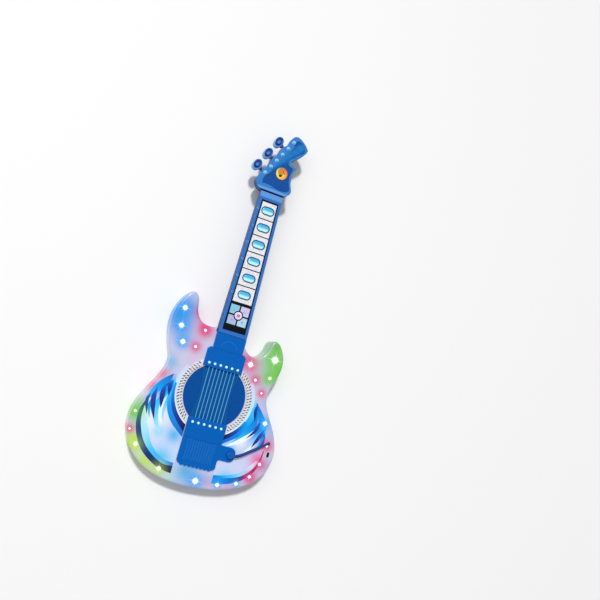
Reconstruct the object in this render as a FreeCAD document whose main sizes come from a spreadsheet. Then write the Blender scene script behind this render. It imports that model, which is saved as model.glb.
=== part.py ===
import FreeCAD, Part
import math
import os

import Sketcher
from FreeCAD import Placement, Rotation, Vector

# Toy electric guitar, lying on its back. Millimetres.
# +X is the player's right seen from the front, +Y runs along the neck to the headstock and +Z comes
# out of the front. The origin is on the back's resting plane, under the middle of the sound hole.

doc = FreeCAD.newDocument("toy_guitar")
dims = doc.addObject("Spreadsheet::Sheet", "dims")

DRIVING = [
    # body shells
    ("body_thick", 38.0, "body, back face to front face"),
    ("part_line", 19.0, "height of the seam between the body shells"),
    ("seam_gap", 0.3, "visible gap at the seam"),
    ("wall", 2.2, "wall of the body and neck shells"),
    ("edge_round", 4.0, "rounding of the body's edges"),
    ("notch_left", -26.5, "left side of the notch that takes the neck"),
    ("notch_right", 25.0, "right side of the notch"),
    ("notch_y", 100.5, "bottom of the notch"),
    # sound hole
    ("hole_radius", 51.5, "sound hole"),
    ("plate_radius", 55.0, "plate behind the sound hole"),
    ("plate_thick", 2.0, "thickness of that plate"),
    ("trim_inner", 53.2, "rope trim, inner radius"),
    ("trim_outer", 62.0, "rope trim, outer radius"),
    ("trim_rise", 1.6, "rope trim above the body face"),
    # covers and strings
    ("cover_half", 32.5, "half width of the two blue covers"),
    ("cover_rise", 4.0, "covers above the body face"),
    ("cover_wall", 1.8, "wall of the covers"),
    ("cover_top_y", 43.5, "lower edge of the upper cover"),
    ("cover_low_y", -40.0, "upper edge of the lower cover"),
    ("string_count", 8, "strings"),
    ("string_pitch", 6.2, "string spacing"),
    ("string_radius", 0.75, "string"),
    ("pin_count", 6, "string pins in each row"),
    ("pin_pitch", 9.7, "pin spacing"),
    ("pin_radius", 2.1, "pin head"),
    # neck and headstock
    ("neck_low_half", 24.6, "half width of the neck at the body"),
    ("neck_top_half", 18.8, "half width of the neck at the headstock"),
    ("neck_low_y", 101.0, "end of the neck at the body"),
    ("neck_top_y", 337.0, "end of the neck at the headstock"),
    ("slope_y", 326.0, "where the neck face starts to slope down"),
    ("groove_deep", 2.2, "groove between that slope and the headstock"),
    ("neck_face", 44.0, "height of the neck's face"),
    ("neck_split", 33.0, "height of the seam between the neck shells"),
    ("neck_back", 23.0, "height of the neck's back"),
    ("head_face", 40.0, "height of the headstock's face"),
    ("head_back", 26.0, "height of the headstock's back"),
    ("tongue_half", 20.0, "half width of the neck's tongue"),
    ("tongue_low", 24.5, "underside of the tongue"),
    ("tongue_top", 32.0, "top of the tongue"),
    ("tongue_y", 60.0, "free end of the tongue"),
    # fret keys
    ("key_count", 6, "fret keys"),
    ("key_pitch", 27.7, "fret key spacing"),
    ("key_first_y", 167.5, "fret key nearest the body"),
    ("key_long", 19.4, "fret key, across the neck"),
    ("key_wide", 10.6, "fret key, along the neck"),
    ("key_top", 46.0, "height of the key tops"),
    ("key_gap", 0.2, "clearance round a key"),
    ("label_low_y", 107.0, "lower edge of the black label"),
    ("label_top_y", 322.0, "upper edge of the label"),
    ("label_thick", 0.4, "label"),
    ("label_less", 5.0, "how far the label stays inside the neck's sides"),
    ("tile_less", 7.2, "how far the glitter tiles stay inside the neck's sides"),
    ("tile_thick", 0.3, "glitter tiles"),
    ("bezel_wide", 1.1, "width of the rim round a fret key"),
    ("bezel_rise", 0.6, "height of that rim"),
    # control pad
    ("pad_y", 133.5, "middle of the control pad"),
    ("pad_half", 16.0, "half size of the control pad"),
    ("pad_slot", 1.2, "half gap between the corner keys"),
    ("round_radius", 6.2, "round key"),
    ("ring_radius", 7.9, "hollow in the corner keys' inner corners"),
    # tuners
    ("post_pitch_x", 6.5, "step from one string post to the next, across"),
    ("post_pitch_y", 12.1, "step from one string post to the next, along"),
    ("knob_long", 9.6, "half length of a tuner knob"),
    ("knob_wide", 7.2, "half width of a tuner knob"),
    ("knob_thick", 8.0, "thickness of a tuner knob"),
    ("shaft_radius", 2.5, "tuner shaft"),
    ("running_gap", 0.06, "radial clearance of a turning shaft"),
    # tremolo arm
    ("tremolo_x", 50.0, "tremolo pivot"),
    ("tremolo_y", -85.0, "tremolo pivot"),
    ("pivot_radius", 3.0, "tremolo shaft"),
    ("shaft_deep", 14.0, "tremolo shaft's length under its hub"),
    # battery box
    ("cell_radius", 7.25, "AA cell"),
    ("cell_long", 49.3, "AA cell without its button"),
    ("button_long", 1.2, "AA cell's button"),
    ("cell_pitch", 15.4, "cell spacing"),
    ("box_y", -75.0, "middle of the battery box"),
    ("box_half_x", 23.6, "half width of the battery space"),
    ("box_half_y", 28.5, "half length of the battery space"),
    ("door_half_x", 28.0, "half width of the battery door"),
    ("door_half_y", 37.0, "half length of the battery door"),
    ("door_thick", 2.2, "battery door"),
    ("door_gap", 0.25, "clearance round the door"),
    # speaker and boards
    ("speaker_y", 24.0, "middle of the speaker"),
    ("speaker_radius", 28.5, "speaker rim"),
    ("board_half_x", 47.0, "half width of the main board"),
    ("board_half_y", 36.0, "half length of the main board"),
    ("board_low", 23.0, "underside of the main board"),
    ("board_thick", 1.6, "circuit boards"),
    ("led_radius", 2.5, "lamp"),
    ("led_board", 4.0, "radius of a lamp's board"),
    ("led_low", 18.4, "underside of the lamp boards"),
    # sockets and fasteners
    ("jack_bore", 1.8, "bore of a 3.5 mm socket"),
    ("jack_radius", 4.5, "socket barrel"),
    ("jack_deep", 12.0, "socket barrel inside the wall"),
    ("jack_collar", 6.2, "socket collar"),
    ("jack_proud", 1.2, "socket collar's thickness"),
    ("screw_radius", 1.25, "shank of the self-tapping screws"),
    ("screw_head", 2.9, "screw head radius"),
    ("screw_fit", 0.05, "clearance round a shank"),
    ("boss_radius", 3.6, "screw bosses"),
]

for row, (alias, number, note) in enumerate(DRIVING, start=1):
    dims.set(f"A{row}", note)
    dims.set(f"B{row}", str(number))
    dims.setAlias(f"B{row}", alias)
sums = doc.addObject("Spreadsheet::Sheet", "sums")
known = {}
doc.recompute()


def value(expression):
    """The number that an expression on the sheet gives, worked out in a cell of the sums sheet."""
    if isinstance(expression, (int, float)):
        return float(expression)
    if expression not in known:
        sums.set("A1", "=" + expression)
        sums.recompute()
        found = sums.get("A1")
        known[expression] = float(getattr(found, "Value", found))
    return known[expression]


def cell(alias):
    """The number in one cell of the sheet."""
    return value(f"dims.{alias}")


# The body's edge, from the left side of the neck notch round to its right side.
BODY_EDGE = [
    (-26.5, 107.5), (-43.5, 106), (-52.5, 109.5), (-59.5, 117), (-63.5, 127), (-65.2, 136),
    (-68.2, 146), (-74.5, 151), (-82, 148.5), (-88.5, 140), (-95.5, 125), (-99.5, 108), (-99.5, 92),
    (-96.5, 75), (-91, 58), (-85.5, 42), (-86, 28), (-93.5, 8), (-104, -12), (-115, -34), (-121, -52),
    (-122.5, -70), (-119, -92), (-109, -111), (-92, -128), (-66, -142), (-30, -150), (12, -150.5),
    (48, -145.5), (79, -135), (105, -118), (120, -95), (125, -70), (120, -47), (108, -23), (94.5, -2),
    (87.5, 14), (87.5, 32), (93.5, 52), (97.5, 72), (95.5, 90), (89, 102.5), (81.5, 110.8),
    (74.5, 112.6), (69.3, 107), (66.3, 95.5), (58, 83), (47, 78), (36, 80.5), (28.5, 88), (25, 97),
]
# The headstock's edge: up its left side to the tip, down to the notch, out to the spur, and back.
HEAD_LEFT = [
    (-18.8, 337), (-27, 341.5), (-31.6, 349), (-30.5, 356), (-27, 363), (-25, 369), (-20.5, 374),
    (-17.5, 381), (-14.5, 391), (-10, 396), (-6.5, 404), (-3, 413), (2.6, 417.5), (5.8, 424),
    (8.2, 431), (12, 435.3), (18, 436.3), (25, 433.5), (32.5, 428), (38.3, 421.5),
]
HEAD_UNDER = [(38.3, 421.5), (36, 415), (29.5, 407.5), (21.5, 399.5), (16.3, 393.5)]
HEAD_SPUR = [(16.3, 393.5), (19, 390.3), (24.5, 388.8), (29, 387.8)]
HEAD_RIGHT = [
    (29, 387.8), (26, 383), (24.1, 377), (24.2, 369), (25.3, 361), (28, 354), (29.5, 348.5),
    (27, 343.5), (18.8, 337),
]
# The sunk panel in the headstock's face.
HEAD_PANEL = [
    (-19, 347.5), (0, 346), (21, 346), (25.5, 349.5), (23, 358), (21, 366), (21, 376), (22, 384.5),
    (15, 388), (12.5, 393.5), (17.5, 400), (26, 408.5), (34, 417.5), (33, 422), (24, 429.5),
    (18, 430), (14, 419), (7, 405.5), (-1, 391), (-9, 376), (-16, 363.5), (-21.5, 352.5),
]

SHELL_BOSSES = [(-77, 138), (79, 100), (-70, 34), (72, 5), (-96, -28), (88, -40), (-80, -104), (62, -120)]
LED_SPOTS = {
    "blue": [(-84.5, 122), (-82.5, 94), (-73.5, 70), (94.5, -21), (74.5, -128), (44.5, -137), (7.5, -139)],
    "pink": [
        (-51.5, 68), (-43.5, 97), (43.5, 65), (58.5, 43), (74.5, 25), (109, -55), (104.5, -88),
        (88, -108), (-112.5, -83),
    ],
    "green": [(81.5, 83), (81.5, 52), (-55.5, -133), (-101.5, -103), (-112.5, -52)],
}
# Lamp chains: each starts at the main board and runs from lamp to lamp.
LAMP_CHAINS = [
    [(-47, 20), (-51.5, 68), (-73.5, 70), (-82.5, 94), (-84.5, 122)],
    [(-51.5, 68), (-43.5, 97)],
    [
        (-47, -10), (-112.5, -52), (-112.5, -83), (-101.5, -103), (-55.5, -133), (7.5, -139), (44.5, -137),
        (74.5, -128),
    ],
    [(47, 15), (74.5, 25), (58.5, 43), (43.5, 65)],
    [(58.5, 43), (81.5, 52), (81.5, 83)],
    [(47, -12), (94.5, -21), (109, -55), (104.5, -88), (88, -108)],
]
COVER_BOSSES_TOP = [(-26, 58), (26, 58), (-18, 88), (18, 88)]
COVER_BOSSES_LOW = [(-26, -66), (26, -66), (-24, -106), (24, -106)]
# Other wires, as points in space: battery, speaker, sockets and tremolo switch to the main board.
WIRE_RUNS = [
    [(-18, -46.3, 16.9), (-18, -45.5, 21.5), (-18, -36.7, 23.8)],
    [(18, -46.3, 16.9), (18, -45.5, 21.5), (18, -36.7, 23.8)],
    [(-11, 13, 13.0), (-14, 10, 17), (-15, 8, 22.3)],
    [(11, 13, 13.0), (14, 10, 17), (15, 8, 22.3)],
    [(86.2, -116.9, 19), (71, -80, 21), (47.9, -28, 23.8)],
    [(96.9, -108.3, 19), (88, -92, 16), (66, -55, 21.5), (47.9, -22, 23.8)],
    [(39, -72.2, 24.9), (40, -55, 26.5), (40, -36.8, 23.8)],
]
WIRE_EXITS = [(-18, -46.3), (18, -46.3)]
NECK_BOSSES = [(-18, 109), (18, 109), (-15, 210), (15, 210), (-12.5, 312), (12.5, 312)]
HEAD_BOSSES = [(-12, 352), (16, 352), (14, 404)]
TONGUE_SCREWS = [(-13, 78), (13, 78)]
SWITCH_SPOT = (39, -77.4)
FRET_POSTS_Y = [140, 200, 260]
AUX_SPOT = Vector(93, -127.5, 0)
MIC_SPOT = Vector(106, -117, 0)
STRAP_SPOT = (114, -70)
KNOB_SPOTS = [(-35.4, 374.0), (-23.4, 396.6), (-11.4, 419.2)]
KNOB_HEADING = math.degrees(math.atan2(-0.474, 0.880))
EPS = 1e-4


def spline(points, closed=False):
    """A smooth curve through points in the XY plane."""
    curve = Part.BSplineCurve()
    curve.interpolate([Vector(x, y, 0) for x, y in points], PeriodicFlag=closed)
    return curve


def polygon(points):
    """Straight lines through points and back to the first."""
    corners = [Vector(x, y, 0) for x, y in points]
    return [Part.LineSegment(a, b) for a, b in zip(corners, corners[1:] + corners[:1])]


def line(a, b):
    return Part.LineSegment(Vector(*a, 0), Vector(*b, 0))


def arc(a, b, c):
    """An arc from a through b to c."""
    return Part.Arc(Vector(*a, 0), Vector(*b, 0), Vector(*c, 0))


def inset(curve, distance, samples=120):
    """Points at a set distance inside a curve that runs anticlockwise round its shape."""
    low, high = curve.FirstParameter, curve.LastParameter
    points = []
    for i in range(samples + 1):
        u = low + (high - low) * i / samples
        t = curve.tangent(u)[0]
        p = curve.value(u)
        points.append((p.x - t.y * distance, p.y + t.x * distance))
    return points


def body_outer():
    """The body's outline."""
    edge = spline(BODY_EDGE)
    left, right, y = cell("notch_left"), cell("notch_right"), cell("notch_y")
    start, end = BODY_EDGE[0], BODY_EDGE[-1]
    return [edge, line(end, (right, y)), line((right, y), (left, y)), line((left, y), start)]


def body_inner():
    """The outline of the hollow inside the body shells."""
    wall = cell("wall")
    left, right = cell("notch_left") - wall, cell("notch_right") - wall
    y = cell("notch_y") - wall
    points = inset(spline(BODY_EDGE), wall)
    while points[0][0] > left:
        points.pop(0)
    while points[-1][0] < right:
        points.pop()
    top_left, top_right = (left, points[0][1]), (right, points[-1][1])
    return [
        spline(points),
        line(points[-1], top_right),
        line(top_right, (right, y)),
        line((right, y), (left, y)),
        line((left, y), top_left),
        line(top_left, points[0]),
    ]


def head_outer():
    """The headstock's outline, closed across the neck."""
    return [
        spline(HEAD_LEFT),
        spline(HEAD_UNDER),
        spline(HEAD_SPUR),
        spline(HEAD_RIGHT),
        line(HEAD_RIGHT[-1], HEAD_LEFT[0]),
    ]


def head_inner():
    """The outline of the hollow inside the headstock."""
    return [spline([
        (-16, 341), (-24, 344.5), (-28, 349.5), (-26.5, 355.5), (-23.5, 362), (-21.3, 367.5), (-17, 371.5),
        (-14, 379), (-11.3, 388), (-7, 393), (-3.3, 402), (0, 410), (5.6, 415), (9.2, 422.5), (12.5, 430.5),
        (18, 432.5), (24.5, 430), (31.5, 424), (34.3, 419.5), (26, 410.5), (13.5, 397), (13, 391),
        (20, 385.5), (20.8, 371), (22.5, 358), (25.6, 349.5), (23, 344.5), (16, 341), (0, 340.5)], closed=True)]


def stadium(x, y, long, wide):
    """A slot outline: two straight sides along X, two round ends."""
    r, half = wide / 2, (long - wide) / 2
    return [
        line((x - half, y - r), (x + half, y - r)),
        arc((x + half, y - r), (x + half + r, y), (x + half, y + r)),
        line((x + half, y + r), (x - half, y + r)),
        arc((x - half, y + r), (x - half - r, y), (x - half, y - r)),
    ]


def corner_key(grow=0.0, ring=None):
    """The upper right corner key's outline about the pad's middle, its inner corner hollowed."""
    low, high = cell("pad_slot") - grow, cell("pad_half") + grow
    radius = ring or cell("ring_radius")
    side = math.sqrt(radius**2 - low**2)
    middle = radius * math.sqrt(0.5)
    return [
        line((side, low), (high, low)),
        line((high, low), (high, high)),
        line((high, high), (low, high)),
        line((low, high), (low, side)),
        arc((low, side), (middle, middle), (side, low)),
    ]


def moved(curves, x, y, flip_x=False, flip_y=False):
    """Copies of curves, mirrored about the axes if asked, then shifted."""
    shift = FreeCAD.Matrix()
    shift.scale(-1 if flip_x else 1, -1 if flip_y else 1, 1)
    shift.move(x, y, 0)
    copies = []
    for curve in curves:
        copy = curve.copy()
        copy.transform(shift)
        copies.append(copy)
    return copies


def neck_half(y):
    """Half the neck's width at y."""
    share = (y - cell("neck_low_y")) / (cell("neck_top_y") - cell("neck_low_y"))
    return cell("neck_low_half") + share * (cell("neck_top_half") - cell("neck_low_half"))


def taper(low_y, top_y, less):
    """A strip down the neck that stays a set distance inside its sides."""
    low, top = neck_half(low_y) - less, neck_half(top_y) - less
    return polygon([(-low, low_y), (low, low_y), (top, top_y), (-top, top_y)])


def key_ys():
    return [cell("key_first_y") + i * cell("key_pitch") for i in range(int(cell("key_count")))]


def all_leds():
    return [spot for spots in LED_SPOTS.values() for spot in spots]


# ---- small builders -------------------------------------------------------------------------


def new_body(label):
    body = doc.addObject("PartDesign::Body", label)
    body.Label = label
    body.AllowCompound = True
    return body


def sketch(body, name, height="0", role="XY_Plane"):
    """An empty sketch on one of the body's origin planes, lifted by an expression."""
    drawing = body.newObject("Sketcher::SketchObject", f"{body.Label}_{name}")
    origin_plane = next(f for f in body.Origin.OriginFeatures if f.Role == role)
    drawing.AttachmentSupport = (origin_plane, "")
    drawing.MapMode = "FlatFace"
    drawing.setExpression("AttachmentOffset.Base.z", height)
    return drawing


def place(drawing, kind, vertex, expression):
    """Ties a sketch vertex's distance from the origin to the sheet."""
    number = value(expression)
    if abs(number) < EPS:
        return
    index = drawing.addConstraint(Sketcher.Constraint(kind, -1, 1, *vertex, number))
    drawing.setExpression(f"Constraints[{index}]", expression)


def rectangle(drawing, left, right, bottom, top):
    """A constrained rectangle whose four sides stand where the expressions say."""
    l, r, b, t = (value(e) for e in (left, right, bottom, top))
    first = drawing.GeometryCount
    for curve in polygon([(l, b), (r, b), (r, t), (l, t)]):
        drawing.addGeometry(curve)
    for i in range(4):
        drawing.addConstraint(Sketcher.Constraint("Coincident", first + i, 2, first + (i + 1) % 4, 1))
    for i in (0, 2):
        drawing.addConstraint(Sketcher.Constraint("Horizontal", first + i))
        drawing.addConstraint(Sketcher.Constraint("Vertical", first + i + 1))
    place(drawing, "DistanceX", (first, 1), left)
    place(drawing, "DistanceY", (first, 1), bottom)
    place(drawing, "DistanceX", (first + 2, 1), right)
    place(drawing, "DistanceY", (first + 2, 1), top)


def circle(drawing, x, y, radius):
    """A constrained circle; x, y and radius are expressions or numbers."""
    g = drawing.addGeometry(Part.Circle(Vector(value(x), value(y), 0), Vector(0, 0, 1), value(radius)))
    index = drawing.addConstraint(Sketcher.Constraint("Radius", g, value(radius)))
    if isinstance(radius, str):
        drawing.setExpression(f"Constraints[{index}]", radius)
    for kind, where in (("DistanceX", x), ("DistanceY", y)):
        if isinstance(where, str):
            place(drawing, kind, (g, 3), where)


def circles(drawing, spots, radius):
    for x, y in spots:
        circle(drawing, x, y, radius)


def draw(drawing, *outlines):
    for outline in outlines:
        for curve in outline:
            drawing.addGeometry(curve)


def pad(body, drawing, length, down=False):
    feature = body.newObject("PartDesign::Pad", drawing.Name + "_pad")
    feature.Profile = drawing
    feature.setExpression("Length", length)
    feature.Reversed = down
    drawing.Visibility = False
    doc.recompute()
    return feature


def pocket(body, drawing, length, up=False):
    """Cuts down from the sketch, or up if asked, and makes sure that it cut something."""
    before = body.Tip.Shape.Volume
    feature = body.newObject("PartDesign::Pocket", drawing.Name + "_pocket")
    feature.Profile = drawing
    feature.setExpression("Length", length)
    feature.Reversed = up
    doc.recompute()
    if feature.Shape.isNull() or feature.Shape.Volume > before - EPS:
        raise RuntimeError(f"{feature.Name} cuts nothing")
    return feature


def round_edges(body, radius, wanted):
    """Rounds the edges that wanted(edge) picks."""
    base = body.Tip
    names = [f"Edge{i}" for i, e in enumerate(base.Shape.Edges, start=1) if wanted(e)]
    feature = body.newObject("PartDesign::Fillet", f"{body.Label}_round_{len(body.Group)}")
    feature.Base = (base, names)
    feature.setExpression("Radius", radius)
    doc.recompute()
    return feature


def at_height(height):
    def flat_there(edge):
        box = edge.BoundBox
        return abs(box.ZMin - height) < 0.01 and abs(box.ZMax - height) < 0.01

    return flat_there


def turned(body, profile, axis="H_Axis"):
    """A solid of revolution from a closed profile drawn in the body's XZ plane."""
    drawing = sketch(body, f"profile_{len(body.Group)}", role="XZ_Plane")
    draw(drawing, profile)
    feature = body.newObject("PartDesign::Revolution", drawing.Name + "_turn")
    feature.Profile = drawing
    feature.ReferenceAxis = (drawing, [axis])
    feature.Angle = 360
    doc.recompute()
    return feature


def cylinder(label, radius, height):
    """A cylinder whose radius and height are expressions."""
    shape = doc.addObject("Part::Cylinder", label)
    shape.setExpression("Radius", radius)
    shape.setExpression("Height", height)
    return shape


def repeat(label, master, spots):
    """One node holding a copy of the master's shape at each (x, y, z) spot."""
    shape = master.Shape if hasattr(master, "Shape") else master
    copies = []
    for spot in spots:
        copy = shape.copy()
        copy.Placement = Placement(Vector(*spot), Rotation()).multiply(copy.Placement)
        copies.append(copy)
    return solid_node(label, Part.makeCompound(copies))


def lifted(spots, height):
    """The same spots at a height."""
    return [(x, y, height) for x, y in spots]


def drilled(label, body, drills):
    """A node: the body with round holes bored through it, each (radius, length, placement)."""
    tools = []
    for i, (radius, length, where) in enumerate(drills, start=1):
        tool = cylinder(f"{label}_drill_{i}", radius, length)
        tool.Placement = where
        tools.append(tool)
    holes = doc.addObject("Part::MultiFuse", label + "_holes")
    holes.Shapes = tools
    node = doc.addObject("Part::Cut", label)
    node.Label = label
    node.Base = body
    node.Tool = holes
    doc.recompute()
    return node


def solid_node(label, shape):
    """A node for a shape made with Part's own functions."""
    node = doc.addObject("Part::Feature", label)
    node.Label = label
    node.Shape = shape
    return node


def screw_shape(length, head_thick=2.0, head=None):
    """A self-tapping screw pointing up from its head, whose upper face is at zero height."""
    shank = cell("screw_radius")
    head = head or cell("screw_head")
    profile = [
        (0, -head_thick), (head * 0.72, -head_thick), (head, -head_thick * 0.45), (head, 0), (shank, 0),
        (shank, length - 1.6), (0.2, length), (0, length),
    ]
    wire = Part.makePolygon([Vector(r, 0, z) for r, z in profile + profile[:1]])
    screw = Part.Face(wire).revolve(Vector(0, 0, 0), Vector(0, 0, 1), 360)
    slot_long, slot_wide, slot_deep = head * 1.05, 0.7, 0.9
    for long, wide in ((slot_long, slot_wide), (slot_wide, slot_long)):
        box = Part.makeBox(long, wide, slot_deep, Vector(-long / 2, -wide / 2, -head_thick - EPS))
        screw = screw.cut(box)
    return screw


# ---- body shells ----------------------------------------------------------------------------


def wall_frame(spot):
    """The point on the body's edge nearest to a spot, and the outward direction there."""
    edge = spline(BODY_EDGE)
    u = edge.parameter(spot)
    point, tangent = edge.value(u), edge.tangent(u)[0]
    return point, Vector(tangent.y, -tangent.x, 0)


def jack_placement(spot):
    """Puts +Z of a socket along the outward direction, at the seam's height."""
    point, outward = wall_frame(spot)
    point.z = cell("part_line")
    return Placement(point, Rotation(Vector(0, 0, 1), outward))


def jack_drills():
    """The two socket holes through the shells' walls."""
    back = Placement(Vector(0, 0, -8), Rotation())
    spots = (AUX_SPOT, MIC_SPOT)
    return [("dims.jack_radius + 0.15", "16", jack_placement(spot).multiply(back)) for spot in spots]


def front_shell():
    body = new_body("front_shell_moulding")
    base = "dims.part_line + dims.seam_gap"
    inside = "dims.body_thick - dims.wall - dims.part_line - dims.seam_gap"
    outline = sketch(body, "outline", base)
    draw(outline, body_outer())
    pad(body, outline, "dims.body_thick - dims.part_line - dims.seam_gap")
    top = at_height(cell("body_thick"))
    round_edges(body, "dims.edge_round", lambda e: top(e) and e.Length > cell("body_thick") * 5)
    hollow = sketch(body, "hollow", base)
    draw(hollow, body_inner())
    pocket(body, hollow, inside, up=True)
    bosses = sketch(body, "bosses", base)
    circles(bosses, SHELL_BOSSES, "dims.boss_radius")
    pad(body, bosses, inside + " + 0.5")
    pilots = sketch(body, "pilots", base)
    circles(pilots, SHELL_BOSSES, "dims.screw_radius + dims.screw_fit")
    pocket(body, pilots, "12", up=True)
    strap_wall = sketch(body, "strap_wall", base)
    draw(strap_wall, stadium_upright(*STRAP_SPOT, 12.6, 8.0))
    pad(body, strap_wall, inside + " + 0.5")
    openings = sketch(body, "openings", "dims.body_thick + 1")
    circle(openings, 0, 0, "dims.hole_radius")
    circle(openings, "dims.tremolo_x", "dims.tremolo_y", "dims.pivot_radius + dims.running_gap")
    circles(openings, COVER_BOSSES_TOP + COVER_BOSSES_LOW, "dims.screw_radius + 0.25")
    draw(openings, stadium_upright(*STRAP_SPOT, 9.0, 4.4))
    pocket(body, openings, "dims.body_thick")
    window = sketch(body, "window", "dims.tongue_low - 0.3")
    rectangle(
        window, "-dims.tongue_half - 0.3", "dims.tongue_half + 0.3", "dims.notch_y - 8", "dims.notch_y + 4")
    pocket(body, window, "dims.tongue_top - dims.tongue_low + 0.6", up=True)
    return drilled("front_shell", body, jack_drills())


def stadium_upright(x, y, long, wide):
    """A slot outline whose straight sides run along Y."""
    r, half = wide / 2, (long - wide) / 2
    return [
        line((x + r, y - half), (x + r, y + half)),
        arc((x + r, y + half), (x, y + half + r), (x - r, y + half)),
        line((x - r, y + half), (x - r, y - half)),
        arc((x - r, y - half), (x, y - half - r), (x + r, y - half)),
    ]


def ring_spots(radius, count, x=0.0, y=0.0, first=0.0):
    """Evenly spaced spots round a circle."""
    angles = [first + 2 * math.pi * i / count for i in range(count)]
    return [(x + radius * math.cos(a), y + radius * math.sin(a)) for a in angles]


def speaker_screw_spots():
    return ring_spots(cell("speaker_radius") + 3.6, 4, 0, cell("speaker_y"), math.pi / 4)


def board_screw_spots():
    x, y = cell("board_half_x") - 4, cell("board_half_y") - 4
    return [(-x, -y), (x, -y), (-x, y), (x, y)]


def door_screw_spots():
    y = cell("box_y")
    reach = (cell("box_half_y") + cell("door_half_y")) / 2
    return [(0, y - reach), (0, y + reach)]


def back_shell():
    body = new_body("back_shell_moulding")
    outline = sketch(body, "outline")
    draw(outline, body_outer())
    pad(body, outline, "dims.part_line")
    bottom = at_height(0)
    round_edges(body, "dims.edge_round", lambda e: bottom(e) and e.Length > cell("body_thick") * 5)
    hollow = sketch(body, "hollow", "dims.wall")
    draw(hollow, body_inner())
    pocket(body, hollow, "dims.part_line", up=True)
    posts = sketch(body, "posts")
    circles(posts, SHELL_BOSSES, "dims.boss_radius + 0.9")
    pad(body, posts, "dims.part_line")
    tongue_posts = sketch(body, "tongue_posts")
    circles(tongue_posts, TONGUE_SCREWS, "dims.boss_radius + 0.9")
    pad(body, tongue_posts, "dims.tongue_low - 0.1")
    lamp_posts = sketch(body, "lamp_posts", "dims.wall - 0.5")
    circles(lamp_posts, all_leds(), "dims.led_radius")
    pad(body, lamp_posts, "dims.led_low - dims.wall + 0.5")
    board_posts = sketch(body, "board_posts", "dims.wall - 0.5")
    circles(board_posts, board_screw_spots(), "dims.boss_radius")
    pad(body, board_posts, "dims.board_low - dims.wall + 0.5")
    switch_post = sketch(body, "switch_post", "dims.wall - 0.5")
    circles(switch_post, [SWITCH_SPOT], 3.0)
    pad(body, switch_post, "22.6")
    speaker_posts = sketch(body, "speaker_posts", "dims.wall - 0.5")
    circles(speaker_posts, speaker_screw_spots(), "dims.boss_radius - 0.6")
    pad(body, speaker_posts, "2.3")
    strap_wall = sketch(body, "strap_wall")
    draw(strap_wall, stadium_upright(*STRAP_SPOT, 12.6, 8.0))
    pad(body, strap_wall, "dims.part_line")
    box = sketch(body, "box")
    rectangle(
        box, "-dims.door_half_x - 2", "dims.door_half_x + 2",
        "dims.box_y - dims.door_half_y - 2", "dims.box_y + dims.door_half_y + 2")
    pad(body, box, "dims.part_line")
    # Openings cut upward from the back face.
    space = sketch(body, "cell_space")
    rectangle(
        space, "-dims.box_half_x", "dims.box_half_x",
        "dims.box_y - dims.box_half_y", "dims.box_y + dims.box_half_y")
    pocket(body, space, "dims.door_thick + 2 * dims.cell_radius + 0.9", up=True)
    recess = sketch(body, "door_recess")
    rectangle(
        recess, "-dims.door_half_x", "dims.door_half_x",
        "dims.box_y - dims.door_half_y", "dims.box_y + dims.door_half_y")
    pocket(body, recess, "dims.door_thick + 0.1", up=True)
    sinks = sketch(body, "screw_sinks")
    circles(sinks, SHELL_BOSSES + TONGUE_SCREWS, "dims.screw_head + 0.3")
    pocket(body, sinks, "10", up=True)
    shanks = sketch(body, "screw_holes")
    circles(shanks, SHELL_BOSSES + TONGUE_SCREWS, "dims.screw_radius + 0.25")
    pocket(body, shanks, "26", up=True)
    door_holes = sketch(body, "door_holes")
    circles(door_holes, door_screw_spots(), "dims.screw_radius + dims.screw_fit")
    pocket(body, door_holes, "12", up=True)
    strap = sketch(body, "strap_slot")
    draw(strap, stadium_upright(*STRAP_SPOT, 9.0, 4.4))
    pocket(body, strap, "dims.part_line + 1", up=True)
    pilots = sketch(body, "pilots", "dims.board_low")
    circles(pilots, board_screw_spots(), "dims.screw_radius + dims.screw_fit")
    pocket(body, pilots, "9")
    speaker_pilots = sketch(body, "speaker_pilots", "4")
    circles(speaker_pilots, speaker_screw_spots(), "dims.screw_radius + dims.screw_fit")
    pocket(body, speaker_pilots, "2.4")
    exits = sketch(body, "wire_exits", "dims.part_line")
    circles(exits, WIRE_EXITS, 0.9)
    pocket(body, exits, "3")
    grille = sketch(body, "grille")
    for ring in range(1, 5):
        circles(grille, ring_spots(ring * 5.2, ring * 6, 0, cell("speaker_y")), 1.4)
    circle(grille, 0, "dims.speaker_y", 1.4)
    pocket(body, grille, "dims.wall + 1", up=True)
    return drilled("back_shell", body, jack_drills())


# ---- sound hole, covers and strings ---------------------------------------------------------


def plate_top():
    """Height of the face of the plate behind the sound hole."""
    return cell("body_thick") - cell("wall") - 0.1


def sound_hole_plate():
    body = new_body("sound_hole_plate")
    disc = sketch(body, "disc", "dims.body_thick - dims.wall - 0.1 - dims.plate_thick")
    circle(disc, 0, 0, "dims.plate_radius")
    pad(body, disc, "dims.plate_thick")
    return body


def rosette_trim():
    """Two arcs of raised trim, either side of the covers."""
    body = new_body("rosette_trim")
    ring = sketch(body, "ring", "dims.body_thick")
    circle(ring, 0, 0, "dims.trim_outer")
    circle(ring, 0, 0, "dims.trim_inner")
    pad(body, ring, "dims.trim_rise")
    top = at_height(cell("body_thick") + cell("trim_rise"))
    round_edges(body, "dims.trim_rise * 0.6", top)
    gap = sketch(body, "gap", "dims.body_thick - 1")
    rectangle(
        gap, "-dims.cover_half - 0.5", "dims.cover_half + 0.5",
        "-dims.trim_outer - 1", "dims.trim_outer + 1")
    pocket(body, gap, "dims.trim_rise + 2", up=True)
    return body


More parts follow.
